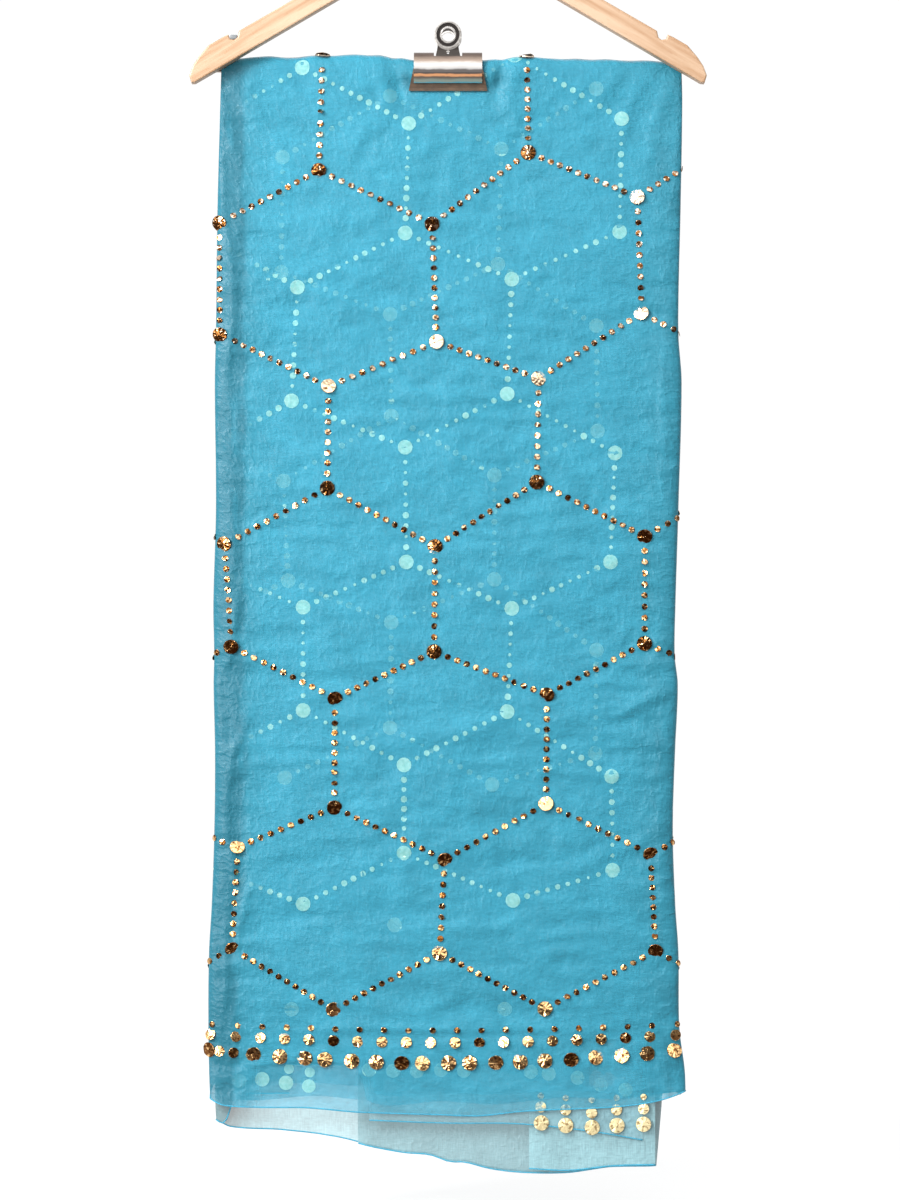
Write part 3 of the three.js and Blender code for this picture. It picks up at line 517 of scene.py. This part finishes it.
def chrome(name, colour, worn):
    """Bright chrome over steel: a mirror, with faint lengthwise draw lines and a few warmer worn places."""
    made, shader = material(name, Metallic=1.0, Roughness=0.12)
    where = object_place(made)
    lines = noise(made, where, (30, 0.5, 0.5), 2.0)
    wear = between(made, noise(made, where, (9, 9, 9)), 0.5, 0.7, 0, 0.7)
    wire_up(made, shader, blend(made, wear, srgb(colour), srgb(worn)), lines, 0.15, 0.05)
    return made


# Lays out the clip's painted reflections.
def banded(made, place, bands):
    """Colours that follow one another along a value: the first one, then each from its start, over its width,
    in millimetres."""
    colours = srgb(bands[0])
    for start, width, colour in bands[1:]:
        share = between(made, place, (start - width) * MM, (start + width) * MM)
        colours = blend(made, share, colours, srgb(colour))
    return colours


def rolled_painted_reflections(name, bands):
    """Old chrome on the clip's rolled sheet, its reflections painted on: dark and bright bands that run along
    the roll, with the copper line of its bend and a teal band among them, and fine scratches. The bands start
    at drops below the top fold."""
    made, shader = material(name, Metallic=0.55, Roughness=0.32)
    where = object_place(made)
    height = add(made, "ShaderNodeSeparateXYZ", {"Vector": where}).outputs["Z"]
    drop = add(made, "ShaderNodeMath", {0: TOP_Z * MM, 1: height}, operation="SUBTRACT").outputs[0]
    scratches = noise(made, where, (14, 2, 0.5), 2.0)
    wavy = between(made, noise(made, where, (11, 11, 6)), 0.3, 0.7, -0.45 * MM, 0.45 * MM)
    wire_up(made, shader, banded(made, summed(made, drop, wavy), bands), scratches, 0.2, 0.05)
    return made


def jaw_painted_reflections(name, plate, rings, lip):
    """Worn chrome on a jaw of the clip, its reflections painted on: a dark neck, painted highlights on the
    beads round the ring and round its hole, and brown bare steel on the lip. The rings start at distances from
    the middle of the ring."""
    made, shader = material(name, Metallic=0.6, Roughness=0.3)
    where = object_place(made)
    parts = add(made, "ShaderNodeSeparateXYZ", {"Vector": where})
    flat = add(made, "ShaderNodeCombineXYZ", {"X": parts.outputs["X"], "Z": parts.outputs["Z"]}).outputs[0]
    middle = (0, 0, (TOP_Z + RING_RISE) * MM)
    out = add(made, "ShaderNodeVectorMath", {0: flat, 1: middle}, operation="DISTANCE").outputs["Value"]
    wear = noise(made, where, (6, 6, 3))
    low = between(made, parts.outputs["Z"], (TOP_Z - 2) * MM, (TOP_Z - 12) * MM)
    # Painted highlights and dark reflections in rings round the ring's middle, mottled at random with the dark
    # plate.
    upper = blend(made, between(made, wear, 0.4, 0.7, 0, 0.5), banded(made, out, rings), srgb(plate))
    bare = blend(made, wear, srgb(lip), srgb(plate))
    wire_up(made, shader, blend(made, low, upper, bare), wear, 0.2, 0.1)
    return made


def rubber(name, colour):
    """Soft grey rubber, matt, with a fine grain."""
    made, shader = material(name, Roughness=0.65)
    grain = noise(made, object_place(made), (0.8, 0.8, 0.8))
    tone = blend(made, grain, scaled(srgb(colour), 0.8), scaled(srgb(colour), 1.2))
    wire_up(made, shader, tone, grain, 0.4, 0.1)
    return made


def paper(name, colour, glow):
    """White studio paper, lit evenly enough to stay white, with a barely visible tooth."""
    made, shader = material(name, Roughness=0.9)
    shader.inputs["Emission Color"].default_value = (1, 1, 1, 1)
    shader.inputs["Emission Strength"].default_value = glow
    tooth = noise(made, object_place(made), (1.5, 1.5, 1.5))
    tone = blend(made, tooth, scaled(srgb(colour), 0.99), scaled(srgb(colour), 1.01))
    wire_up(made, shader, tone, tooth, 0.05, 0.05)
    return made


WOOD = beech("planed_beech", "#B99D82", "#A07C5C")
RUBBER = rubber("grey_rubber", "#6F7375")
# The saree's silk, all of one dye: its front, plies under it, the solid bundle, loose ends, back and rolled
# hems.
SHEER = organza("silk_organza_sheer", "#3B98B1", 0.47, 0.85)
INNER = organza("silk_organza_inner", "#3B98B1", 0.5, 0.85, outer=False)
DENSE = organza("silk_organza_plies", "#3B98B1", 1.0, 1.0, outer=False)
# The loose ends and the back below the bundle are paler: painted light for light shining through a single ply.
SINGLE = organza("silk_organza_loose_end", "#88AEB5", 0.68, 0.72)
BACK = organza("silk_organza_back", "#88AEB5", 0.68, 0.72, above="#3B98B1")
VEIL = organza("silk_organza_thin_end", "#82ACB6", 0.42, 0.5)
HEM = organza("silk_organza_rolled_hem", "#3F9DBB", 0.92, 0.92)
# For each foil: its colour, the dark brown of its painted reflections, and the paler colour of its painted
# highlight higher up.
GOLD = foil("gold_foil_sequin", "#F0C186", "#7A4E26", "#DFCBB4")
PALE_GOLD = foil("pale_foil_sequin", "#DCCB9C", "#8E7750", "#DCCB9C", 0.45, 0.35)
MINT = plastic_disc("pale_sequin_underside", "#A6D2B6", "#C8E9CE")
CHROME = chrome("chromed_steel", "#D5D1CB", "#A58B78")
# Painted reflections of the studio and the cloth: bands on the clip, from its top edge down, and rings on the
# jaws.
ROLLED = rolled_painted_reflections("rolled_clip_painted_reflections", [
    "#5E5049", (3, 1.5, "#8C7C70"), (7.6, 1.2, "#C6C2BE"), (11, 1.5, "#A8A6A4"), (13.6, 0.8, "#4C4745"),
    (17.8, 0.4, "#C48C62"), (20.0, 0.5, "#585048"), (22, 1, "#748078"), (24.8, 0.7, "#3C8496"),
])
JAW = jaw_painted_reflections("jaw_chrome_painted_reflections", "#3F3B38", [
    "#E4E1DD", (6.9, 0.3, "#3A3634"), (9.9, 0.4, "#DAD6D1"), (12.4, 0.5, "#4A4541"),
], "#7C6451")
PAPER = paper("white_paper", "#808080", 0.74)


# Cloth.
front_hems = LEFT_TURN_HEM, FRONT_HEM, RIGHT_TURN_HEM
front_ply, front_points = outer_sheet("front_ply", 1, section_columns(0.31, 0.15), front_hems, 330, SHEER)
back_hems = BACK_LEFT_TURN_HEM, BACK_HEM, BACK_HEM
back_columns = section_columns(0.15, 0.69, turned=40)
back_ply, back_points = outer_sheet("back_ply", -1, back_columns, back_hems, 250, BACK)

# Hems of the inner plies at the front: x, drop.
SECOND_HEM = [
    (-206, 869), (-150, 872), (-92, 873), (-76, 878), (-71, 903), (0, 905), (90, 903), (170, 901), (206, 896),
]
THIRD_HEM = [(-206, 866), (-120, 870), (-84, 871), (-70, 876), (-64, 896), (40, 898), (120, 897), (206, 892)]
CORE_HEM = [(-206, 862), (-120, 866), (-40, 868), (40, 871), (110, 869), (160, 874), (206, 876)]


def inner_sheet(name, under, narrower, front_hem_at, back_end, finish):
    """One ply under both outer ones, over the bar from its front hem to its back hem, a share narrower."""
    c = np.concatenate([np.linspace(-0.9, 0, 6)[:-1], np.linspace(0, 1, 110), np.linspace(1, 1.9, 6)[1:]])
    halves = []
    across = cloth_place(1, c, np.full(len(c), 870.0))[:, 0]
    for side, end in ((1, curve(front_hem_at)(across)), (-1, back_end)):
        arc = np.linspace(-ARC, 0, 9)[:-1]
        ends = end - BAR_DROP + np.sin(c * 9 + under * 3) + 1.5 * np.sin(c * 23)
        below = np.linspace(0, 1, 150)[:, None] * ends[None, :]
        v = np.concatenate([np.repeat(arc[:, None], len(c), 1), below])
        points = cloth_place(side, c[None, :], v, under)
        points[..., 0] *= 1 - narrower
        halves.append((points, v))
    (front, front_v), (back, back_v) = halves
    points = np.concatenate([front[::-1], back[1:]])
    along = np.concatenate([front_v[::-1], -back_v[1:]])
    flat = np.stack([np.broadcast_to(c * PANEL, along.shape), along], -1)
    return grid(name, points, flat, finish, gather_and_shade(c[None, :], along, 47), outward=False)


second_ply = inner_sheet("second_ply", 0.9, 0.0015, SECOND_HEM, 905, INNER)
third_ply = inner_sheet("third_ply", 1.6, 0.0035, THIRD_HEM, 892, INNER)
core_plies = inner_sheet("core_plies", 2.2, 0.0055, CORE_HEM, 874, DENSE)


def loose_sheet(name, reach, hem, columns, rows, seed, finish):
    """A flat ply that hangs out below the hidden ones, as wide as its hem."""
    x = np.linspace(hem[0][0], hem[-1][0], columns)
    t = np.linspace(0, 1, rows)[:, None]
    drop = LOOSE_TOP + t * (curve(hem)(x) - LOOSE_TOP)[None, :]
    broad, small = soft_noise(seed), soft_noise(seed + 1)
    wave = 0.3 * broad(x[None, :] / 60, drop / 45) + 0.2 * small(x[None, :] / 16, drop / 14)
    across = np.broadcast_to(x, drop.shape)
    points = np.stack([across, BAR_Y - reach - wave, TOP_Z - drop], -1)
    return grid(name, points, np.stack([across, drop], -1), finish), points


middle_ply, middle_points = loose_sheet("middle_ply", 7.05, MIDDLE_HEM, 90, 30, 71, VEIL)
bordered_ply, bordered_points = loose_sheet("bordered_ply", 5.2, BORDERED_HEM, 50, 44, 83, SINGLE)

# Gold sequins: the corners of their net, x and drop, the lines between them, and the corners that show bright.
NET = {
    "A1": (-111.6, 100.8), "A2": (69.2, 85.3), "A3": (249.7, 69.7), "A0": (-292, 112),
    "B1": (-196.3, 146.4), "B2": (-13.9, 147.3), "B3": (163.3, 124.1),
    "C1": (-195.4, 243), "C2": (-9.9, 249.2), "C3": (166.9, 224.2),
    "D0": (-284, 290), "D1": (-103.2, 287.5), "D2": (78, 280.7), "D3": (258, 272),
    "E0": (-284, 372), "E1": (-104.2, 375.3), "E2": (76.4, 370.1), "E3": (257, 367),
    "F1": (-192.1, 423.4), "F2": (-11.2, 425.6), "F3": (169.5, 416.9),
    "G1": (-186.9, 511.7), "G2": (-12.1, 516.3), "G3": (169.4, 509.2),
    "H0": (-278, 556), "H1": (-97.6, 556.5), "H2": (85.2, 553.3), "H3": (266, 549),
    "I0": (-281, 647), "I1": (-98.1, 650.6), "I2": (84.4, 647.7), "I3": (267, 644),
    "J1": (-181.7, 684.9), "J2": (-3, 695.3), "J3": (174.4, 690.5),
    "K1": (-186.2, 772.6), "K2": (-7.4, 776.4), "K3": (179, 774.4),
    "L0": (-280, 826), "L1": (-99, 825), "L2": (83.4, 824.4), "L3": (266, 824),
    "T1": (-108.5, 1.5), "T2": (68, 1.5),
}
LINKS = (
    "T1A1 T2A2 B1C1 B2C2 B3C3 D1E1 D2E2 F1G1 F2G2 F3G3 H1I1 H2I2 J1K1 J2K2 J3K3 "
    "A1B1 A1B2 A2B2 A2B3 A3B3 A0B1 C1D1 D1C2 C2D2 D2C3 C3D3 C1D0 E1F1 E1F2 E2F2 E2F3 E3F3 E0F1 "
    "G1H1 H1G2 G2H2 H2G3 G3H3 G1H0 I1J1 I1J2 I2J2 I2J3 I3J3 I0J1 K1L1 L1K2 K2L2 L2K3 K3L3 K1L0"
).split()
BRIGHT_CORNERS = set("T1 T2 B3 C2 C3 D1 D2 I2 J1 K2 L1 L2".split())

# Corners of the nets on the two plies below, x and drop, and the lines between them.
SECOND_NET = {
    "a": (-126, 12), "b": (-34, 60), "c": (-37, 155), "d": (150, 56), "e": (148, 154), "f": (-130, 202),
    "g": (-135, 300), "h": (55, 195), "i": (51, 294), "j": (-37, 340), "k": (-36, 439), "l": (144, 345),
    "m": (140, 439), "n": (-125, 478), "o": (-125, 567), "p": (55, 479), "q": (51, 568), "r": (-38, 614),
    "s": (-38, 690), "t": (141, 624), "u": (142, 705), "v": (-125, 734), "w": (56, 731), "x": (-215, 155),
    "y": (-215, 345), "z": (-215, 440), "A": (-215, 612), "B": (-215, 700), "C": (-215, 66), "D": (58, 2),
}
SECOND_LINKS = (
    "Ca ab bc bD Dd de cf xf fg ch he hi gy gj ij il jk lm zn kn kp mp no pq oA or qr qt rs tu sv sw uw Bv"
).split()
THIRD_NET = {
    "a": (-143, 89), "b": (-144, 189), "c": (46, 82), "d": (43, 182), "e": (-50, 225), "f": (-49, 313),
    "g": (128, 235), "h": (129, 326), "i": (-142, 369), "j": (-138, 455), "k": (40, 364), "l": (40, 454),
    "m": (-49, 491), "n": (-50, 582), "o": (128, 515), "p": (127, 604), "q": (-141, 625), "r": (38, 631),
    "s": (-46, 752), "t": (-135, 825), "u": (49, 825), "v": (-50, 36), "w": (128, 30), "x": (-230, 235),
    "y": (-230, 330), "z": (-230, 500),
}
THIRD_LINKS = "va vc wc ab cd xb be de dg ef gh yi fi fk hk ij kl zj jm lm lo mn op nq nr pr".split()


def direction(side, c, v):
    """Outward direction of the outer cloth."""
    step_c, step_v = 0.004, 1.5
    across = cloth_place(side, c + step_c, v) - cloth_place(side, c - step_c, v)
    down = cloth_place(side, c, v + step_v) - cloth_place(side, c, v - step_v)
    out = np.cross(down, across)
    out = out / np.maximum(1e-9, np.linalg.norm(out, axis=-1, keepdims=True))
    return out * np.sign(side)


def section_place(side, x, drop):
    """Place in the section for a flat distance x across the cloth, which goes round the side folds."""
    wide, half, left, right = section(side, drop)
    span, turn = right - left, math.pi * np.sqrt((wide**2 + half**2) / 2)
    beyond = np.where(x > right, x - right, np.where(x < left, left - x, 0.0))
    share = np.where(beyond < turn, beyond / turn, 1 + (beyond - turn) / span)
    return np.where(x > right, 1 + share, np.where(x < left, -share, (x - left) / span))


def flat_place(side, x, drop):
    """Place in the section and down the cloth for flat distances, over the top fold too."""
    v = np.where(drop < BAR_DROP, -ARC * (1 - drop / BAR_DROP), drop - BAR_DROP)
    return section_place(side, x, np.maximum(drop, BAR_DROP)), v


def net_discs(corners, links, small, large, bright=()):
    """Discs of a net: x, drop, radius, and lean. The bright corners face up, the lower ones more, so that
    they all show the lamp in front. The other corners face down and stay dark. 0 leaves it to chance."""
    found = [(x, d, large, 0.7 + d / 1100 if name in bright else -1) for name, (x, d) in corners.items()]
    for link in links:
        half = len(link) // 2
        a, b = np.array(corners[link[:half]], float), np.array(corners[link[half:]], float)
        length = np.linalg.norm(b - a)
        clear = 2 * large
        count = max(1, round((length - 2 * clear) / PITCH))
        for k in range(count + 1):
            x, d = a + (b - a) * (clear + (length - 2 * clear) * k / count) / length
            found.append((x, d, small, 0))
    return found


# The large discs of the border, in pixels across the photograph.
BORDER_LARGE = [
    253, 279.5, 304.5, 324.5, 351.4, 376.2, 401.5, 422.3, 448.6, 469.7, 495.9, 520.2, 544.9, 571.3,
    596.1, 622.2, 647.6, 673.9,
]


def foil_disc(radius, sides, rings, rng, crinkle, crown):
    """One foil disc in its own plane, pressed into radial pleats, its rim turned back: points and faces."""
    angles = np.arange(sides) * 2 * math.pi / sides
    pleat = rng.uniform(-1, 1, sides) * crinkle * radius
    points = [(0, 0, crown * radius)]
    for k in range(1, rings + 1):
        r = radius * k / rings
        edge = k / rings
        rough = 1 + (rng.uniform(-0.035, 0.035, sides) if k == rings else 0)
        for a, p, s in zip(angles, pleat, rough * np.ones(sides)):
            rise = p * edge + crown * radius * (1 - edge)
            points.append((r * s * math.cos(a), r * s * math.sin(a), rise))
    for a in angles:
        points.append((RIM * radius * math.cos(a), RIM * radius * math.sin(a), -crown * radius))
    faces = [(0, 1 + i, 1 + (i + 1) % sides) for i in range(sides)]
    for k in range(rings):
        base, nxt = 1 + k * sides, 1 + (k + 1) * sides
        for i in range(sides):
            j = (i + 1) % sides
            faces.append((base + i, nxt + i, nxt + j, base + j))
    return np.array(points), faces


def sewn(name, at, normal, radius, lean, finish, off, seed, tilt=14.0, crinkle=0.05, crown=0.08):
    """Discs sewn on at the given points, this far off the cloth, as one piece. A disc of positive lean faces
    up, one of negative lean down, by about so many tilts, and one of 0 either way. Flat shading keeps the
    pleats crisp."""
    rng = np.random.default_rng(seed)
    points, faces, bend = [], [], []
    for k in range(len(radius)):
        big = radius[k] > BIG
        pleats = crinkle * (1 if big else 2.5)
        shape, local = foil_disc(radius[k], 20 if big else 9, 2 if big else 1, rng, pleats, crown)
        n = normal[k]
        share = rng.normal(0.25, 0.8) if lean[k] == 0 else 0.9 * lean[k] + rng.normal(0, 0.2)
        angle = math.radians(tilt * share)
        sideways = math.radians(tilt) * rng.normal(0, 0.5)
        e1 = np.cross((0.0, 0.0, 1.0), n)
        e1 /= np.linalg.norm(e1)
        e2 = np.cross(n, e1)
        n = n + e2 * math.tan(angle) + e1 * math.tan(sideways)
        n /= np.linalg.norm(n)
        e1 = np.cross(e2, n)
        e1 /= np.linalg.norm(e1)
        e2 = np.cross(n, e1)
        turn = rng.uniform(0, 2 * math.pi)
        a1 = e1 * math.cos(turn) + e2 * math.sin(turn)
        a2 = e2 * math.cos(turn) - e1 * math.sin(turn)
        lift = off + abs(math.tan(angle)) * radius[k] * 0.6
        start = len(points)
        points.extend(at[k] + n * lift + shape[:, :1] * a1 + shape[:, 1:2] * a2 + shape[:, 2:] * n)
        faces.extend(tuple(start + i for i in face) for face in local)
        # Painted reflection: a large disc that faces down gets more dark spots on its foil, one that faces up
        # fewer; small ones at random.
        bend.append(np.full(len(shape), -float(lean[k]) if big else rng.uniform(-0.3, 0.9)))
    piece = mesh_piece(name, points, faces, finish, smooth=False)
    dark_reflection_bias = piece.data.attributes.new("dark_reflection_bias", "FLOAT", "POINT")
    dark_reflection_bias.data.foreach_set("value", np.concatenate(bend))
    return piece


def sewn_on_ply(name, side, discs, finish, off, seed):
    """Discs sewn on an outer ply, round its side folds too."""
    x, drop, radius, lean = (np.array(column, float) for column in zip(*discs))
    c, v = flat_place(side, x, drop)
    return sewn(name, cloth_place(side, c, v), direction(side, c, v), radius, lean, finish, off, seed)


def sewn_flat(name, discs, reach, lean, finish, seed, **settings):
    """Discs sewn on a ply that hangs flat, at this reach, from their pixels and radii."""
    at = np.array([(px(x, y)[0], BAR_Y - reach, TOP_Z - px(x, y)[1]) for x, y, _ in discs])
    normal = np.tile((0.0, -1.0, 0.0), (len(at), 1))
    return sewn(name, at, normal, [r for _, _, r in discs], [lean] * len(at), finish, 0.1, seed, **settings)


def px(x, y):
    """A pixel of the photograph as x and drop."""
    return (x - PX_MIDDLE) * PX_MM, (y - PX_TOP) * PX_MM


def printed_on_ply(name, discs, finish, under, seed, sides=14):
    """Flat discs that lie close on one of the plies in front, and follow its shape. The small ones show
    unevenly, as the cloth over them hides some of each."""
    x, drop, radius, _ = (np.array(column, float) for column in zip(*discs))
    rng = np.random.default_rng(seed)
    radius = radius * np.where(radius > BIG, 1, rng.uniform(0.45, 1.05, len(radius)))
    angles = np.arange(sides) * 2 * math.pi / sides
    reach_x = np.concatenate([[0], np.cos(angles)])[None, :] * radius[:, None] + x[:, None]
    reach_drop = np.concatenate([[0], np.sin(angles)])[None, :] * radius[:, None] + drop[:, None]
    c, v = flat_place(1, reach_x, reach_drop)
    first = np.arange(len(x)) * (sides + 1)
    faces = [(f, f + 1 + (i + 1) % sides, f + 1 + i) for f in first.tolist() for i in range(sides)]
    return mesh_piece(name, cloth_place(1, c, v, under), faces, finish)


def border_row(px_at, middle, sag, radius, every):
    """One row of the border: discs at places across it, lowest in the middle, every so many of them dark."""
    row = []
    for i, x in enumerate(px_at):
        y = middle - sag * ((x - BORDER_MIDDLE) / BORDER_HALF) ** 2
        row.append((*px(x, y), radius, -1 if i % every == every - 1 else 0.7))
    return row


# The net, the three rows of the border, and the discs that go round its left side fold.
net = net_discs(NET, LINKS, SMALL, LARGE, BRIGHT_CORNERS)
border = border_row(BORDER_LARGE, 1064, 13, LARGE, 7) + border_row([209], 1064, 13, LARGE, 1)
border += border_row([219, 233], 1064, 13, 4.4, 2)
border += border_row([211 + 24.4 * i for i in range(20)], 1043.5, 8, 4.6, 6)
border += border_row([213 + 24.4 * i for i in range(20)], 1031, 6, SMALL, 3)
front_net = sewn_on_ply("front_sequins", 1, net + border, GOLD, 0.35, 3)

# The nets below, and the border of a ply below, in pixels.
BORDER_BELOW = [
    (369, 1071), (393, 1072), (417, 1072), (441, 1071), (464, 1072), (531, 1073), (549, 1075), (578, 1079),
    (601, 1086), (626, 1091),
]
second_discs = net_discs(SECOND_NET, SECOND_LINKS, 2.7, 6.4)
second_net = printed_on_ply("second_sequins", second_discs, MINT, 0.6, 61)
third_discs = net_discs(THIRD_NET, THIRD_LINKS, 2.7, 6.4) + [(*px(x, y), 6.2, 0) for x, y in BORDER_BELOW]
third_net = printed_on_ply("third_sequins", third_discs, MINT, 1.3, 62)
back_net = sewn_on_ply("back_sequins", -1, net, GOLD, 0.35, 9)

# Discs on the loose plies: column, row and radius.
TURNED_DISCS = [
    (238, 1083.6, 6), (261, 1082, 6), (285, 1085.6, 6), (308, 1089, 5.6), (288, 1071.5, 4.2),
    (309, 1075, 4.2),
]
BORDERED_DISCS = [
    (541.5, 1124.2, 6.3), (566.1, 1126.7, 6.3), (592.5, 1128.7, 6.3), (617.4, 1126.8, 6.3),
    (644, 1125.5, 6.3),
    (541, 1108, 4.6), (566, 1111, 4.6), (592, 1114, 4.6), (617, 1111, 4.6), (644, 1110, 4.6),
    (541, 1097, 2.65), (566, 1099, 2.65), (592, 1101, 2.65), (617, 1099, 2.65), (644, 1098, 2.65),
]
turned_net = sewn_flat("turned_sequins", TURNED_DISCS, -0.7, 0, MINT, 23, tilt=1, crinkle=0.01, crown=0.02)
bordered_net = sewn_flat("bordered_sequins", BORDERED_DISCS, 8.2, 0.6, PALE_GOLD, 21, tilt=9)


def bead(name, path, radius, sides=6):
    """A rolled hem along a line of points."""
    along = np.gradient(path, axis=0)
    along /= np.maximum(1e-9, np.linalg.norm(along, axis=1, keepdims=True))
    first = np.cross(along, (0.0, 1.0, 0.0))
    first /= np.maximum(1e-9, np.linalg.norm(first, axis=1, keepdims=True))
    second = np.cross(along, first)
    angles = np.arange(sides) * 2 * math.pi / sides
    around = np.cos(angles)[None, :, None] * first[:, None] + np.sin(angles)[None, :, None] * second[:, None]
    index = np.arange(len(path) * sides).reshape(len(path), sides)
    nxt = np.roll(index, -1, 1)
    faces = np.stack([index[:-1], nxt[:-1], nxt[1:], index[1:]], -1).reshape(-1, 4).tolist()
    faces += [index[0][::-1].tolist(), index[-1].tolist()]
    piece = mesh_piece(name, path[:, None] + radius * around, faces, HEM)
    piece.data.uv_layers.new(name="cut")
    return piece


front_hem = bead("front_hem", front_points[-1], 0.6)
back_hem = bead("back_hem", back_points[-1], 0.6)
middle_hem = bead("middle_hem", middle_points[-1], 0.55)
bordered_hem = bead("bordered_hem", bordered_points[-1], 0.6)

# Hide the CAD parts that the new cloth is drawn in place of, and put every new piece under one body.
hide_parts("front_stretch")
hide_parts("back_stretch")
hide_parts("hidden_layers")
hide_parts("middle_end")
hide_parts("bordered_end")
plies = [front_ply, back_ply, second_ply, third_ply, core_plies, middle_ply, bordered_ply]
nets = [front_net, second_net, third_net, back_net, bordered_net, turned_net]
rolled_hems = [front_hem, back_hem, middle_hem, bordered_hem]
for piece in plies + nets + rolled_hems:
    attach(piece, "root")

# The hanger and the clip keep their shape, with better materials, and look smooth up to their sharp edges.
FINISHES = {
    "hanger_arm_left": WOOD, "hanger_arm_right": WOOD, "hanger_hook": CHROME, "trouser_bar": CHROME,
    "clip_jaw_front": JAW, "clip_jaw_back": JAW, "clip_spring": ROLLED,
}
SMOOTH_UNDER = 38  # degrees between faces
bpy.ops.object.select_all(action="DESELECT")
for name, finish in FINISHES.items():
    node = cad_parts[name]
    node.data.materials.clear()
    node.data.materials.append(finish)
    node.select_set(True)
bpy.context.view_layer.objects.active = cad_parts["clip_spring"]
bpy.ops.object.shade_smooth_by_angle(angle=math.radians(SMOOTH_UNDER))
bpy.ops.object.select_all(action="DESELECT")

# The grey pad pressed into the left arm's notch.
bpy.ops.mesh.primitive_cube_add(
    size=1, location=(-184.2 * MM, 0, (TOP_Z + 12.0) * MM), scale=(6.4 * MM, 10.6 * MM, 4.2 * MM))
notch_pad = bpy.context.object
notch_pad.name = "notch_pad"
bpy.ops.object.transform_apply(location=True, rotation=True, scale=True)
rounded = notch_pad.modifiers.new("rounded", "BEVEL")
rounded.width, rounded.segments = 1.2 * MM, 3
bpy.ops.object.modifier_apply(modifier="rounded")
bpy.ops.object.shade_smooth()
notch_pad.data.materials.append(RUBBER)
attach(notch_pad, "root")
bpy.ops.object.select_all(action="DESELECT")

# Studio: a paper floor a little under the longest hem, and three lamps, in metres.
bpy.ops.mesh.primitive_plane_add(size=1, location=(0, 1.4, -1.205))
floor = bpy.context.object
floor.name = "studio_floor"
floor.scale = (6, 3.0, 1)
floor.data.materials.append(PAPER)


def softbox(name, place, aim, size, power):
    """A rectangular lamp at a place, turned to face another, its size in metres and its power in watts."""
    light = bpy.data.lights.new(name, "AREA")
    light.shape = "RECTANGLE"
    light.size, light.size_y = size
    light.energy = power
    obj = placed(bpy.data.objects.new(name, light))
    obj.location = place
    dx, dy, dz = np.array(aim) - np.array(place)
    obj.rotation_euler = (math.atan2(math.hypot(dx, dy), -dz), 0, math.atan2(dx, -dy) + math.pi)


softbox("key_softbox", (-1.7, -1.6, 0.6), (0, 0, -0.75), (0.9, 1.1), 108)
softbox("front_softbox", (0, -2.6, 0.75), (0, 0, -0.65), (3.2, 1.6), 39)
softbox("low_softbox", (-1.2, -2.1, -0.9), (0, 0, -1.0), (0.9, 0.4), 37)

# A pale room: a white ceiling, white behind the hanger, grey at the sides, and dark where the camera stands.
# The camera itself sees it white all round.
world = bpy.data.worlds.new("studio")
bpy.context.scene.world = world
world.use_nodes = True
towards = add(world, "ShaderNodeTexCoord")
axes = add(world, "ShaderNodeSeparateXYZ", {"Vector": towards.outputs["Generated"]})


def over(axis, start, end, low, high):
    """A value that changes along one axis of the room."""
    return between(world, axes.outputs[axis], start, end, low, high)


def larger(first, second):
    return add(world, "ShaderNodeMath", {0: first, 1: second}, operation="MAXIMUM").outputs[0]


PAPER_WHITE = 1.03
room = larger(over("Y", -0.4, 0.2, 0, 0.76), over("Z", 0.25, 0.55, 0, 0.76))
strength = summed(world, over("Y", -0.94, -0.82, 0.04, 0.27), room)
pale = larger(over("Z", -0.35, 0.0, 0, 1), over("Y", -0.5, 0.1, 0, 1))
tint = blend(world, pale, srgb("#B8927A"), (1, 1, 1, 1))
seen = add(world, "ShaderNodeLightPath").outputs["Is Camera Ray"]
shown = between(world, seen, 0, 1, strength, PAPER_WHITE)
white = blend(world, seen, tint, (1, 1, 1, 1))
background = world.node_tree.nodes["Background"]
world.node_tree.links.new(shown, background.inputs["Strength"])
world.node_tree.links.new(white, background.inputs["Color"])

# The camera looks level at the middle of the photograph, from 2.6 m.
camera_data = bpy.data.cameras.new("camera")
camera_data.lens = 90.6
camera_data.sensor_width = 36
camera = placed(bpy.data.objects.new("camera", camera_data))
camera.location = (0.0017, -2.6, -0.6638)
camera.rotation_euler = (math.pi / 2, 0, 0)
bpy.context.scene.camera = camera
bpy.context.scene.view_settings.view_transform = "Standard"
cycles = bpy.context.scene.cycles
cycles.transparent_max_bounces = 12
cycles.max_bounces = 6
cycles.diffuse_bounces = 2
cycles.caustics_reflective = False
cycles.caustics_refractive = False
